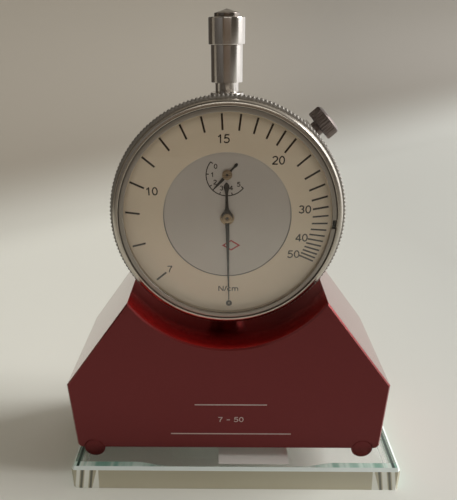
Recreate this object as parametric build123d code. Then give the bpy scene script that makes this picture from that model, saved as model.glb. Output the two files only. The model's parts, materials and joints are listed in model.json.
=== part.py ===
from build123d import *
import math
import os

# Screen tension meter on its glass calibration plate, in millimetres.
# X runs to the right of the dial, Y from the dial to the back, Z up from the underside of the plate.
# The pieces are drawn about the spindle, at x = 0 and y = 0. The last section moves them all to the left
# by plate_shift, so that the plate lies centred on the origin.

# Shared clearances
overrun = 1.0
running_clearance = 0.05
rest_gap = 0.05
driver_slot_share = 0.25
free_gap = 0.3

# Glass calibration plate and its paper label
plate_width = 93.4
plate_depth = 50.6
plate_thickness = 7.5
plate_bevel = 0.8
plate_shift = 2.0
label_width = 20.0
label_depth = 7.4
label_thickness = 0.1
label_right_of_spindle = 7.4
label_front_margin = 1.9

# Painted base
base_depth = 40.5
base_bottom_width = 86.5
base_widest_width = 88.0
base_top_width = 50.5
base_widest_height = 21.6
base_height = 46.9
base_corner_radius = 1.6
base_edge_bevel = 0.4
scoop_radius = 30.5
scoop_floor_height = 33.0

# Support rods under the base, and the measuring bar between them
rod_radius = 3.0
rod_inset = 4.75
rod_edge_bevel = 0.3
rod_screw_margin = 8.0
rod_screw_radius = 1.0
rod_screw_length = 8.0
rod_screw_head_radius = 1.7
rod_screw_head_height = 1.4
rod_screw_head_depth = 2.4
bar_flat_height = 2.2

# Stroke of the measuring bar, from resting on glass to hanging free
bar_drop = 2.4

# Pocket and cover in the underside of the base
pocket_width = 22.0
pocket_end_gap = 2.0
pocket_height = 16.5
pocket_corner_radius = 2.0
cover_side_lap = 6.0
cover_end_lap = 2.5
cover_thickness = 2.0
cover_corner_radius = 3.0
cover_side_gap = 0.2
cover_screw_inset = 3.2
cover_screw_radius = 1.25
cover_screw_length = 7.0
cover_screw_head_radius = 2.4
cover_screw_head_height = 1.4
slot_side_gap = 0.5
slot_end_gap = 0.8

# Carrier that joins the bar to the spindle and runs on two pins
carrier_width = 14.0
carrier_spring_margin = 0.3
carrier_thickness = 4.0
carrier_corner_radius = 1.0
carrier_rib_width = 4.0
carrier_rib_depth = 24.0
pin_radius = 1.5
pin_spacing = 20.0
pin_reach = 18.0
bush_radius = 2.5
bush_length = 6.0
pin_bore_relief = 0.3
pin_bore_spare = 1.0
load_spring_radius = 2.7
load_spring_wall = 0.6
bar_screw_spacing = 9.8
bar_screw_radius = 1.0
bar_screw_length = 9.0
bar_screw_head_radius = 1.7
bar_screw_head_height = 1.5
stud_radius = 1.0
stud_engagement = 3.0
nut_radius = 2.6
nut_height = 1.8
spindle_foot_gap = 0.6

# Dial gauge: height of its dial centre over the underside of the base
gauge_height = 65.7
stem_radius = 4.0
stem_lower_height = 20.0
stem_inside_reach = 1.0
clamp_screw_radius = 2.0
clamp_screw_height = 28.0
clamp_screw_recess = 1.0
clamp_screw_socket_radius = 1.1
clamp_screw_socket_depth = 2.5

# Spindle, with the rack cut in a flat on its left side
spindle_radius = 2.0
rack_line_offset = 1.3
rack_flat_margin = 2.2
rack_teeth = 14

# Case of the gauge, its web behind the dial, and its back cover
case_radius = 27.5
case_wall = 3.5
case_front = 8.2
case_back = 8.0
web_thickness = 1.0
web_opening_radius = 14.0
cover_disc_thickness = 1.4
cover_disc_bevel = 0.4
back_screw_count = 4
back_screw_radius = 0.8
back_screw_length = 5.0
back_screw_head_radius = 1.4
back_screw_head_height = 0.7

# Sleeve, collar and lifting cap over the gauge
sleeve_radius = 3.85
sleeve_neck_radius = 2.85
sleeve_neck_length = 2.6
sleeve_length = 10.6
sleeve_inside_reach = 1.0
collar_radius = 4.1
collar_bevel = 0.3
collar_thickness = 1.8
collar_seat_depth = 0.3
cap_radius = 4.4
cap_wall = 0.45
cap_height = 5.9
cap_bevel = 0.5
cap_over_neck = 8.5
cap_roof_thickness = 1.2
finial_radius = 3.0
finial_rim_height = 0.8
finial_cone_height = 0.9
finial_shank_radius = 0.8
finial_shank_length = 4.0

# Bezel, crystal and the rings that hold it
rim_radius = 29.0
rim_front = 11.6
ridge_front = 12.4
ridge_inner_radius = 27.5
ridge_outer_radius = 28.0
knurl_radius = 29.9
knurl_depth = 0.35
knurl_count = 180
knurl_front = 10.3
knurl_back = 8.3
skirt_radius = 29.2
skirt_back = 5.2
ledge_radius = 26.6
ledge_thickness = 1.2
crystal_side_gap = 0.1
crystal_thickness = 0.8
gasket_inner_radius = 26.7
gasket_thickness = 0.25
snap_ring_inner_radius = 26.2
snap_ring_groove_depth = 0.4
snap_ring_thickness = 0.6
snap_ring_gap = 2.3
snap_ring_gap_angle = -2.5
retaining_wire_thickness = 0.7
retaining_wire_engagement = 0.45
retaining_wire_setback = 6.6
retaining_wire_gap = 3.0
groove_side_gap = 0.05

# Dial: outer ring with the tension scale, inner disc with the turn counter
dial_front = 9.3
scale_ring_thickness = 0.4
scale_ring_inner_radius = 16.4
centre_disc_radius = 16.1
centre_hole_radius = 1.1
counter_hole_radius = 0.9
dial_foot_radius = 0.6
dial_foot_offset = 15.0

# Gear train: sixteen-tooth rack pinion, hundred-tooth wheels, ten-tooth centre pinion
rack_pitch = 0.625
rack_pinion_teeth = 16
wheel_teeth = 100
centre_pinion_teeth = 10
addendum_share = 0.9
dedendum_share = 1.25
tooth_pitch_share = 0.40
tooth_tip_share = 0.20
tooth_root_share = 0.52
wheel_thickness = 0.6
wheel_front = 5.0
pinion_side_margin = 0.3
rack_pinion_length = 2.6
arbor_radius = 0.65
pivot_radius = 0.35
pivot_clearance = 0.03
hub_radius = 1.5
hub_thickness = 0.5

# Movement plates behind the dial
front_plate_thickness = 0.8
back_plate_back = 2.3
back_plate_thickness = 0.8
movement_radius = 17.0
pillar_radius = 1.2
pillar_screw_radius = 0.5
pillar_screw_head_radius = 1.0
pillar_screw_head_height = 0.5
pillar_ring_radius = 15.2
pillar_angles = (15.0, 165.0, 322.0)
web_screw_ring_radius = 15.5
web_screw_angles = (60.0, 120.0, 250.0)
web_screw_radius = 0.5
web_screw_length = 1.5
bridge_leg_gap = 0.9
bridge_leg_width = 2.4
bridge_height = 5.0
bridge_arm_gap = 0.4
bridge_arm_thickness = 0.9
bridge_arm_reach = 1.6
hairspring_inner_radius = 1.2
hairspring_pitch = 0.6
hairspring_half_turns = 9
hairspring_thickness = 0.12
hairspring_width = 0.45
hairspring_front = 6.0
guide_pin_radius = 0.55
guide_pin_rise = 9.0
guide_pin_reach = 10.4
guide_pin_grip = 0.5
guide_block_near = 2.8
guide_block_width = 4.6
guide_block_low = 3.0
guide_block_high = 12.5
guide_block_back = 2.4
guide_slot_clearance = 0.08
return_spring_offset = 9.5
return_spring_radius = 1.2
return_spring_wall = 0.4
return_spring_length = 19.0
spring_post_radius = 0.7
spring_post_back = 1.6

# Hands
pointer_thickness = 0.12
pointer_front = 10.3
pointer_tip_reach = 23.3
pointer_root_width = 1.05
pointer_eye_radius = 0.9
pointer_tip_width = 0.3
pointer_tail_reach = 9.2
pointer_tail_width = 0.5
pointer_spade_radius = 0.8
pointer_spade_reach = 8.2
pointer_hub_radius = 1.75
pointer_hub_front = 10.5
pointer_hub_back = 9.7
pointer_boss_radius = 1.1
counter_pointer_front = 9.65
counter_tip_reach = 5.15
counter_tail_reach = 3.7
counter_root_width = 0.7
counter_eye_radius = 0.7
counter_tip_width = 0.2
counter_hub_radius = 1.25
counter_hub_front = 9.85
counter_pointer_angle = 136.9

# Screw that locks the bezel, and the plate that it presses on the bezel's skirt
lock_angle = 41.0
lock_axis_back = 2.0
lock_plate_seat_radius = 29.35
lock_plate_thickness = 0.5
lock_plate_width = 6.2
lock_plate_depth = 9.0
lock_plate_lip_length = 2.6
lock_boss_width = 6.8
lock_boss_depth = 7.2
lock_stem_radius = 2.1
lock_thread_radius = 1.25
lock_thread_reach = 2.6
lock_knob_radius = 4.1
lock_knob_seat_radius = 31.15
lock_knob_length = 2.75
lock_knob_crown_height = 0.6
lock_knob_crown_radius = 3.3
lock_knob_teeth = 40
lock_knob_tooth_depth = 0.25

# Places worked out from the sizes above
plate_top = plate_thickness
base_z = plate_top + rest_gap + rod_radius
base_front = -base_depth / 2
base_back = base_depth / 2
rod_offset = base_bottom_width / 2 - rod_inset
carrier_depth = pin_spacing + 2 * (load_spring_radius + carrier_spring_margin)
bar_length = carrier_depth
pocket_depth = carrier_depth + 2 * pocket_end_gap
cover_width = pocket_width + 2 * cover_side_lap
cover_depth = pocket_depth + 2 * cover_end_lap
gauge_z = base_z + gauge_height
pocket_roof = base_z + pocket_height
cover_top = base_z + cover_thickness
carrier_bottom = cover_top + bar_drop + free_gap
carrier_top = carrier_bottom + carrier_thickness
bar_flat_z = base_z + bar_flat_height
stem_bottom = base_z + stem_lower_height
stem_bore_radius = spindle_radius + running_clearance
case_inner_radius = case_radius - case_wall
nut_top = carrier_top + nut_height
spindle_bottom = nut_top + spindle_foot_gap
collar_bottom = gauge_z + case_radius - collar_seat_depth
collar_top = collar_bottom + collar_thickness
sleeve_bottom = collar_top + sleeve_neck_length
sleeve_top = sleeve_bottom + sleeve_length
cap_bottom = sleeve_bottom + cap_over_neck
cap_top = cap_bottom + cap_height
cap_bore_radius = cap_radius - cap_wall
cap_ceiling = cap_top - cap_roof_thickness
crystal_back = dial_front + ledge_thickness + gasket_thickness
crystal_front = crystal_back + crystal_thickness
front_plate_front = case_front - web_thickness
front_plate_back = front_plate_front - front_plate_thickness
back_plate_front = back_plate_back + back_plate_thickness
gear_module = rack_pitch / math.pi
wheel_radius = gear_module * wheel_teeth / 2
centre_pinion_radius = gear_module * centre_pinion_teeth / 2
rack_pinion_radius = gear_module * rack_pinion_teeth / 2
gear_centre_distance = wheel_radius + centre_pinion_radius
rack_arbor_x = -(rack_line_offset + rack_pinion_radius)
rack_arbor_z = -math.sqrt(gear_centre_distance ** 2 - rack_arbor_x ** 2)
pinion_front = wheel_front + pinion_side_margin
pinion_back = wheel_front - wheel_thickness - pinion_side_margin
arbor_bearing_radius = pivot_radius + pivot_clearance


def rod_along_z(radius, low, high, x=0, y=0):
    """Upright cylinder."""
    return Pos(x, y, (low + high) / 2) * Cylinder(radius, high - low)


def rod_along_y(radius, front, back, x=0, z=0):
    """Cylinder that runs from front to back; places along Y are signed."""
    return Pos(x, (front + back) / 2, z) * Rot(X=90) * Cylinder(radius, back - front)


def tube_along_z(outer, inner, low, high, x=0, y=0):
    bore = rod_along_z(inner, low - overrun, high + overrun, x, y)
    return rod_along_z(outer, low, high, x, y) - bore


def dial_disc(radius, front, back, x=0, z=0):
    """Disc in the gauge: front and back are distances in front of the spindle, x and z from the dial centre."""
    return rod_along_y(radius, -front, -back, x, gauge_z + z)


def dial_ring(outer, inner, front, back):
    return dial_disc(outer, front, back) - dial_disc(inner, front + overrun, back - overrun)


def block(x_low, x_high, y_low, y_high, z_low, z_high):
    centre = Pos((x_low + x_high) / 2, (y_low + y_high) / 2, (z_low + z_high) / 2)
    return centre * Box(x_high - x_low, y_high - y_low, z_high - z_low)


def rounded_block(width, depth, low, high, corner):
    """Upright block about the spindle, with rounded upright corners."""
    return extrude(Plane.XY.offset(low) * RectangleRounded(width, depth, corner), high - low)


def facing_plane(front, x=0, z=0):
    """Drawing plane parallel to the dial: its x is X, its y is Z, and it faces the viewer."""
    return Plane(origin=(x, -front, gauge_z + z), x_dir=(1, 0, 0), z_dir=(0, -1, 0))


def flat_piece(sketch, front, back, x=0, z=0):
    """Flat piece parallel to the dial, drawn about a point at x and z from the dial centre."""
    return extrude(facing_plane(back, x, z) * sketch, front - back)


def polar_point(radius, degrees):
    return (radius * math.cos(math.radians(degrees)), radius * math.sin(math.radians(degrees)))


def toothed_outline(root_radius, tip_radius, teeth, root_share, tip_share, phase, flank=None):
    """Closed outline of straight-sided teeth; a share is a tooth's width over the spacing of the teeth.
    flank adds a point on each side: a radius and its share. A tooth stands at the phase angle."""
    spacing = 360 / teeth
    sides = [(root_radius, root_share), (tip_radius, tip_share)]
    if flank:
        sides.insert(1, flank)
    points = []
    for tooth in range(teeth):
        middle = phase + tooth * spacing
        points += [polar_point(radius, middle - share * spacing / 2) for radius, share in sides]
        points += [polar_point(radius, middle + share * spacing / 2) for radius, share in reversed(sides)]
    return make_face(Polyline(*points, close=True))


def gear_outline(teeth, phase):
    pitch_radius = gear_module * teeth / 2
    root_radius = pitch_radius - dedendum_share * gear_module
    tip_radius = pitch_radius + addendum_share * gear_module
    flank = (pitch_radius, tooth_pitch_share)
    return toothed_outline(root_radius, tip_radius, teeth, tooth_root_share, tooth_tip_share, phase, flank)


def meshing_phase(teeth, phase, line_angle, other_teeth):
    """Phase of the second gear, whose centre lies from the first one's at line_angle."""
    tooth_lead = phase - line_angle
    return line_angle + 180 - tooth_lead * teeth / other_teeth + 180 / other_teeth


# Calibration plate

def make_calibration_plate():
    plate = block(-plate_width / 2, plate_width / 2, -plate_depth / 2, plate_depth / 2, 0, plate_top)
    plate = Pos(plate_shift, 0, 0) * plate
    uprights = plate.edges().filter_by(Axis.Z)
    rim = plate.faces().sort_by(Axis.Z)[-1].edges()
    return chamfer(uprights + rim, plate_bevel)


def make_calibration_label():
    front = -plate_depth / 2 + label_front_margin
    left = label_right_of_spindle - label_width / 2
    top = plate_top + label_thickness
    return block(left, left + label_width, front, front + label_depth, plate_top, top)


# Base and what is fixed in it

def base_profile():
    outline = Polyline(
        (-base_bottom_width / 2, 0),
        (base_bottom_width / 2, 0),
        (base_widest_width / 2, base_widest_height),
        (base_top_width / 2, base_height),
        (-base_top_width / 2, base_height),
        (-base_widest_width / 2, base_widest_height),
        close=True,
    )
    face = make_face(outline)
    feet = face.vertices().group_by(Axis.Y)[0]
    face = fillet(feet, base_corner_radius)
    scoop = Pos(0, scoop_floor_height + scoop_radius) * Circle(scoop_radius)
    return face - scoop


def rod_screw_places():
    reach = base_depth / 2 - rod_screw_margin
    return [(side * rod_offset, end * reach) for side in (-1, 1) for end in (-1, 1)]


def cover_screw_places():
    across = cover_width / 2 - cover_screw_inset
    along = cover_depth / 2 - cover_screw_inset
    return [(side * across, end * along) for side in (-1, 1) for end in (-1, 1)]


def make_base_housing():
    back_plane = Plane(origin=(0, base_back, base_z), x_dir=(1, 0, 0), z_dir=(0, -1, 0))
    base = extrude(back_plane * base_profile(), base_depth)
    ends = base.faces().filter_by(Axis.Y)
    base = chamfer(ends.edges(), base_edge_bevel)
    for side in (-1, 1):
        groove = rod_along_y(rod_radius, base_front - overrun, base_back + overrun, side * rod_offset, base_z)
        base -= groove
    base -= rounded_block(cover_width, cover_depth, base_z - overrun, cover_top, cover_corner_radius)
    base -= rounded_block(pocket_width, pocket_depth, base_z, pocket_roof, pocket_corner_radius)
    base -= rod_along_z(stem_radius, pocket_roof - overrun, gauge_z)
    for end in (-1, 1):
        y = end * pin_spacing / 2
        base -= rod_along_z(bush_radius, pocket_roof - overrun, pocket_roof + bush_length, 0, y)
        relief_top = carrier_bottom + pin_reach + pin_bore_spare
        base -= rod_along_z(pin_radius + pin_bore_relief, pocket_roof, relief_top, 0, y)
    base -= rod_along_y(clamp_screw_radius, 0, base_back + overrun, 0, base_z + clamp_screw_height)
    for x, y in rod_screw_places():
        top = base_z - rod_radius + rod_screw_head_depth + rod_screw_length
        base -= rod_along_z(rod_screw_radius, base_z, top, x, y)
    for x, y in cover_screw_places():
        base -= rod_along_z(cover_screw_radius, base_z, base_z + cover_screw_length, x, y)
    return base


def make_support_rod(side):
    x = side * rod_offset
    rod = rod_along_y(rod_radius, base_front, base_back, x, base_z)
    rod = chamfer(rod.edges().filter_by(GeomType.CIRCLE), rod_edge_bevel)
    low = base_z - rod_radius
    for place_x, y in rod_screw_places():
        if place_x * side > 0:
            rod -= rod_along_z(rod_screw_head_radius, low - overrun, low + rod_screw_head_depth, x, y)
            rod -= rod_along_z(rod_screw_radius, low, base_z + rod_radius + overrun, x, y)
    return rod


def socket_screw(head_radius, head_height, radius, length, socket_radius):
    """Cap screw that points down: the underside of its head at z = 0, its shank below."""
    head = rod_along_z(head_radius, 0, head_height)
    socket_depth = head_height / 2
    hexagon = Plane.XY.offset(head_height - socket_depth) * RegularPolygon(socket_radius, 6)
    return head + rod_along_z(radius, -length, 0) - extrude(hexagon, socket_depth + overrun)


def make_rod_screws():
    seat = base_z - rod_radius + rod_screw_head_depth
    screw = socket_screw(
        rod_screw_head_radius, rod_screw_head_height, rod_screw_radius, rod_screw_length, rod_screw_radius
    )
    return Compound([Pos(x, y, seat) * Rot(X=180) * screw for x, y in rod_screw_places()])


def make_bottom_cover():
    gap = cover_side_gap
    cover = rounded_block(cover_width - 2 * gap, cover_depth - 2 * gap, base_z, cover_top, cover_corner_radius)
    slot_width = 2 * (rod_radius + slot_side_gap)
    slot_length = bar_length + 2 * slot_end_gap
    cover -= rounded_block(slot_width, slot_length, base_z - overrun, cover_top + overrun, slot_side_gap)
    for x, y in cover_screw_places():
        cover -= Pos(x, y, base_z + cover_screw_head_height / 2) * Cone(
            cover_screw_head_radius, cover_screw_radius, cover_screw_head_height
        )
        cover -= rod_along_z(cover_screw_radius, base_z, cover_top + overrun, x, y)
    return cover


def make_bottom_cover_screws():
    head = Pos(0, 0, cover_screw_head_height / 2) * Cone(
        cover_screw_head_radius, cover_screw_radius, cover_screw_head_height
    )
    slot_half = driver_slot_share * cover_screw_radius
    driver = block(
        -cover_screw_head_radius, cover_screw_head_radius, -slot_half, slot_half,
        -overrun, cover_screw_head_height / 2,
    )
    screw = head + rod_along_z(cover_screw_radius, 0, cover_screw_length) - driver
    return Compound([Pos(x, y, base_z) * screw for x, y in cover_screw_places()])


def make_guide_bushes():
    bore = pin_radius + running_clearance
    top = pocket_roof + bush_length
    half = pin_spacing / 2
    return Compound([tube_along_z(bush_radius, bore, pocket_roof, top, 0, end * half) for end in (-1, 1)])


def make_stem_clamp_screw():
    z = base_z + clamp_screw_height
    back = base_back - clamp_screw_recess
    screw = rod_along_y(clamp_screw_radius, stem_radius + rest_gap, back, 0, z)
    socket_plane = Plane(origin=(0, back, z), x_dir=(1, 0, 0), z_dir=(0, 1, 0))
    socket = extrude(socket_plane * RegularPolygon(clamp_screw_socket_radius, 6), -clamp_screw_socket_depth)
    return screw - socket


def make_load_springs():
    low = carrier_top + rest_gap
    half = pin_spacing / 2
    inner = load_spring_radius - load_spring_wall
    return Compound(
        [tube_along_z(load_spring_radius, inner, low, pocket_roof, 0, end * half) for end in (-1, 1)]
    )


# Measuring bar, carrier and spindle

def make_measuring_bar():
    bar = rod_along_y(rod_radius, -bar_length / 2, bar_length / 2, 0, base_z)
    bar = chamfer(bar.edges().filter_by(GeomType.CIRCLE), rod_edge_bevel)
    flat = block(-rod_radius, rod_radius, -bar_length, bar_length, bar_flat_z, base_z + rod_radius + overrun)
    bar -= flat
    tip = carrier_top - bar_screw_length
    for end in (-1, 1):
        bar -= rod_along_z(bar_screw_radius, tip, bar_flat_z + overrun, 0, end * bar_screw_spacing / 2)
    return bar


def make_bar_carrier():
    carrier = rounded_block(carrier_width, carrier_depth, carrier_bottom, carrier_top, carrier_corner_radius)
    rib_x = carrier_rib_width / 2
    rib_y = carrier_rib_depth / 2
    carrier += block(-rib_x, rib_x, -rib_y, rib_y, bar_flat_z, carrier_bottom)
    carrier -= rod_along_z(stud_radius, carrier_top - stud_engagement, carrier_top + overrun)
    for end in (-1, 1):
        pin_y = end * pin_spacing / 2
        carrier -= rod_along_z(pin_radius, carrier_bottom, carrier_top + overrun, 0, pin_y)
        screw_y = end * bar_screw_spacing / 2
        carrier -= rod_along_z(bar_screw_radius, bar_flat_z - overrun, carrier_top + overrun, 0, screw_y)
    return carrier


def make_bar_screws():
    screw = socket_screw(
        bar_screw_head_radius, bar_screw_head_height, bar_screw_radius, bar_screw_length, bar_screw_radius
    )
    half = bar_screw_spacing / 2
    return Compound([Pos(0, end * half, carrier_top) * screw for end in (-1, 1)])


def make_guide_pins():
    top = carrier_bottom + pin_reach
    half = pin_spacing / 2
    return Compound([rod_along_z(pin_radius, carrier_bottom, top, 0, end * half) for end in (-1, 1)])


def make_coupling_stud():
    return rod_along_z(stud_radius, carrier_top - stud_engagement, spindle_bottom + stud_engagement)


def make_lock_nut():
    nut = extrude(Plane.XY.offset(carrier_top) * RegularPolygon(nut_radius, 6), nut_height)
    return nut - rod_along_z(stud_radius, carrier_top - overrun, nut_top + overrun)


def rack_notches():
    """Gaps between the rack's teeth, drawn in the dial's plane; one gap lies level with the rack pinion."""
    tip_x = -(rack_line_offset + addendum_share * gear_module)
    root_x = -(rack_line_offset - dedendum_share * gear_module)
    tip_gap = (1 - tooth_tip_share) * rack_pitch / 2
    line_gap = (1 - tooth_pitch_share) * rack_pitch / 2
    root_gap = (1 - tooth_root_share) * rack_pitch / 2
    first = rack_arbor_z - rack_flat_margin
    count = rack_teeth + 1
    start = math.ceil((first - rack_arbor_z) / rack_pitch)
    notches = []
    for number in range(start, start + count):
        z = rack_arbor_z + number * rack_pitch
        outline = Polyline(
            (-spindle_radius, z - tip_gap),
            (tip_x, z - tip_gap),
            (-rack_line_offset, z - line_gap),
            (root_x, z - root_gap),
            (root_x, z + root_gap),
            (-rack_line_offset, z + line_gap),
            (tip_x, z + tip_gap),
            (-spindle_radius, z + tip_gap),
            close=True,
        )
        notches.append(flat_piece(make_face(outline), spindle_radius, -spindle_radius))
    return notches


def make_spindle():
    spindle = rod_along_z(spindle_radius, spindle_bottom, cap_ceiling)
    tip_x = -(rack_line_offset + addendum_share * gear_module)
    flat_low = gauge_z + rack_arbor_z - rack_flat_margin - rack_pitch
    flat_high = flat_low + (rack_teeth + 2) * rack_pitch
    spindle -= block(-spindle_radius - overrun, tip_x, -spindle_radius, spindle_radius, flat_low, flat_high)
    spindle -= rack_notches()
    spindle -= rod_along_z(stud_radius, spindle_bottom - overrun, spindle_bottom + stud_engagement)
    spindle -= rod_along_z(finial_shank_radius, cap_ceiling - finial_shank_length, cap_ceiling + overrun)
    pin_z = gauge_z + guide_pin_rise
    hole = Pos(guide_pin_grip + spindle_radius, 0, pin_z) * Rot(Y=90)
    spindle -= hole * Cylinder(guide_pin_radius, 2 * spindle_radius)
    return spindle


def make_anti_rotation_pin():
    length = guide_pin_reach - guide_pin_grip
    centre = Pos(guide_pin_grip + length / 2, 0, gauge_z + guide_pin_rise)
    return centre * Rot(Y=90) * Cylinder(guide_pin_radius, length)


def make_lifting_cap():
    cap = rod_along_z(cap_radius, cap_bottom, cap_top)
    cap = chamfer(cap.edges().sort_by(Axis.Z)[-1], cap_bevel)
    cap -= rod_along_z(cap_bore_radius, cap_bottom - overrun, cap_ceiling)
    return cap - rod_along_z(finial_shank_radius, cap_ceiling - overrun, cap_top + overrun)


def make_finial_screw():
    rim_top = cap_top + finial_rim_height
    rim = rod_along_z(finial_radius, cap_top, rim_top)
    cone = Pos(0, 0, rim_top + finial_cone_height / 2) * Cone(finial_radius, 0, finial_cone_height)
    return rim + cone + rod_along_z(finial_shank_radius, cap_ceiling - finial_shank_length, cap_top)


# Gauge case, stem and sleeve

def lock_frame():
    """Place of the bezel's lock: its z runs outward along the screw, its y to the back."""
    outward = (math.cos(math.radians(lock_angle)), 0, math.sin(math.radians(lock_angle)))
    across = (math.sin(math.radians(lock_angle)), 0, -math.cos(math.radians(lock_angle)))
    return Plane(origin=(0, lock_axis_back, gauge_z), x_dir=across, z_dir=outward)


def back_screw_places():
    radius = case_radius - case_wall / 2
    half_step = 180 / back_screw_count
    return [polar_point(radius, half_step * (2 * number + 1)) for number in range(back_screw_count)]


def make_gauge_case():
    wall = dial_ring(case_radius, case_inner_radius, case_front, -case_back)
    web = dial_ring(case_inner_radius + overrun, web_opening_radius, case_front, front_plate_front)
    boss_box = Pos(0, 0, (case_inner_radius + lock_plate_seat_radius) / 2) * Box(
        lock_boss_width, lock_boss_depth, lock_plate_seat_radius - case_inner_radius
    )
    boss = lock_frame() * boss_box - dial_disc(case_inner_radius, case_front, -case_back)
    case = wall + web + boss
    groove_front = retaining_wire_setback + groove_side_gap
    groove_back = retaining_wire_setback - retaining_wire_thickness - groove_side_gap
    groove_floor = case_radius - retaining_wire_engagement - groove_side_gap
    case -= dial_ring(case_radius + running_clearance, groove_floor, groove_front, groove_back)
    case -= rod_along_z(stem_radius, stem_bottom, gauge_z - web_opening_radius)
    case -= rod_along_z(sleeve_neck_radius, gauge_z + web_opening_radius, cap_top)
    case -= rod_along_z(collar_radius + running_clearance, collar_bottom, cap_top)
    bore_length = lock_plate_seat_radius - case_inner_radius + 2 * overrun
    bore_middle = (lock_plate_seat_radius + case_inner_radius) / 2
    bore = Cylinder(lock_thread_radius + running_clearance, bore_length)
    case -= lock_frame() * (Pos(0, 0, bore_middle) * bore)
    for x, z in back_screw_places():
        case -= dial_disc(back_screw_radius, -case_back + back_screw_length, -case_back - overrun, x, z)
    for x, z in web_screw_points():
        case -= dial_disc(web_screw_radius, front_plate_front + web_screw_length / 2, front_plate_back, x, z)
    for side in (-1, 1):
        x = side * dial_foot_offset
        case -= dial_disc(dial_foot_radius, case_front + overrun, front_plate_front - overrun, x)
    return case


def make_lower_stem():
    top = gauge_z - case_inner_radius + stem_inside_reach
    return tube_along_z(stem_radius, stem_bore_radius, stem_bottom, top)


def make_upper_sleeve():
    neck_low = gauge_z + case_inner_radius - sleeve_inside_reach
    sleeve = tube_along_z(sleeve_neck_radius, stem_bore_radius, neck_low, sleeve_bottom)
    return sleeve + tube_along_z(sleeve_radius, stem_bore_radius, sleeve_bottom, sleeve_top)


def make_top_collar():
    collar = tube_along_z(collar_radius, sleeve_neck_radius, collar_bottom, collar_top)
    rims = collar.edges().filter_by(GeomType.CIRCLE).group_by(SortBy.RADIUS)[-1]
    return chamfer(rims.sort_by(Axis.Z)[-1], collar_bevel)


def make_back_cover():
    back = -case_back - cover_disc_thickness
    cover = dial_disc(case_radius, -case_back, back)
    cover = chamfer(cover.edges().sort_by(Axis.Y)[-1], cover_disc_bevel)
    for x, z in back_screw_places():
        cover -= dial_disc(back_screw_radius, -case_back + overrun, back - overrun, x, z)
    return cover


def make_back_cover_screws():
    face = -case_back - cover_disc_thickness
    slot_half = driver_slot_share * back_screw_radius
    slot = block(
        -back_screw_head_radius, back_screw_head_radius,
        -face + back_screw_head_height / 2, -face + back_screw_head_height + overrun,
        gauge_z - slot_half, gauge_z + slot_half,
    )
    head = dial_disc(back_screw_head_radius, face, face - back_screw_head_height) - slot
    shank = dial_disc(back_screw_radius, -case_back + back_screw_length, face)
    return Compound([Pos(x, 0, z) * (head + shank) for x, z in back_screw_places()])


def make_bezel_lock_plate():
    """Bent strip: flat on the boss under the knob, with a lip that reaches forward over the bezel's skirt."""
    seat = lock_plate_seat_radius
    front = -skirt_back - lock_axis_back + free_gap
    back = front + lock_plate_depth
    half = lock_plate_width / 2
    strip = block(-half, half, front, back, seat, seat + lock_plate_thickness)
    lip = block(-half, half, front - lock_plate_lip_length, front, skirt_radius, seat + lock_plate_thickness)
    skirt_length = 2 * (lock_plate_lip_length + overrun)
    lip -= Pos(0, front, 0) * Rot(X=90) * Cylinder(skirt_radius + rest_gap, skirt_length)
    hole_length = 2 * (lock_plate_thickness + overrun)
    hole = Pos(0, 0, seat) * Cylinder(lock_thread_radius + running_clearance, hole_length)
    return lock_frame() * (strip + lip - hole)


def make_bezel_lock_screw():
    seat = lock_knob_seat_radius
    outline = toothed_outline(
        lock_knob_radius - lock_knob_tooth_depth, lock_knob_radius, lock_knob_teeth,
        tooth_root_share + tooth_tip_share, tooth_tip_share, 0,
    )
    knob = extrude(Plane.XY.offset(seat) * outline, lock_knob_length)
    crown_low = seat + lock_knob_length
    crown = Pos(0, 0, crown_low + lock_knob_crown_height / 2) * Cone(
        lock_knob_radius - lock_knob_tooth_depth, lock_knob_crown_radius, lock_knob_crown_height
    )
    stem_low = lock_plate_seat_radius + lock_plate_thickness + rest_gap
    stem = rod_along_z(lock_stem_radius, stem_low, seat)
    thread = rod_along_z(lock_thread_radius, lock_plate_seat_radius - lock_thread_reach, stem_low)
    return lock_frame() * (knob + crown + stem + thread)


# Bezel

def make_bezel_ring():
    """Turned ring with its knurled band: the outline is radius against distance in front of the spindle."""
    skirt_bore = case_radius + running_clearance
    crystal_bore = ridge_inner_radius
    groove_back = crystal_front
    groove_front = groove_back + snap_ring_thickness + groove_side_gap
    wire_front = retaining_wire_setback + groove_side_gap
    wire_back = retaining_wire_setback - retaining_wire_thickness - groove_side_gap
    wire_floor = skirt_bore + retaining_wire_engagement
    knurl_root = knurl_radius - knurl_depth
    ledge_front = dial_front + ledge_thickness
    profile = [
        (skirt_radius, skirt_back),
        (skirt_radius, knurl_back),
        (knurl_root, knurl_back),
        (knurl_root, knurl_front),
        (rim_radius, knurl_front),
        (rim_radius, rim_front),
        (ridge_outer_radius, ridge_front),
        (ridge_inner_radius, ridge_front),
        (crystal_bore, groove_front),
        (crystal_bore + snap_ring_groove_depth, groove_front),
        (crystal_bore + snap_ring_groove_depth, groove_back),
        (crystal_bore, groove_back),
        (crystal_bore, ledge_front),
        (ledge_radius, ledge_front),
        (ledge_radius, dial_front),
        (skirt_bore, dial_front),
        (skirt_bore, wire_front),
        (wire_floor, wire_front),
        (wire_floor, wire_back),
        (skirt_bore, wire_back),
        (skirt_bore, skirt_back),
    ]
    outline = make_face(Polyline(*[(radius, -front) for radius, front in profile], close=True))
    ring = Pos(0, 0, gauge_z) * revolve(outline, Axis.Y)
    teeth = toothed_outline(
        knurl_root - knurl_depth, knurl_radius, knurl_count, tooth_root_share + tooth_tip_share, tooth_tip_share, 0
    )
    wall_middle = (skirt_bore + skirt_radius) / 2
    band = flat_piece(teeth - Circle(wall_middle), knurl_front, knurl_back)
    return ring + band


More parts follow.
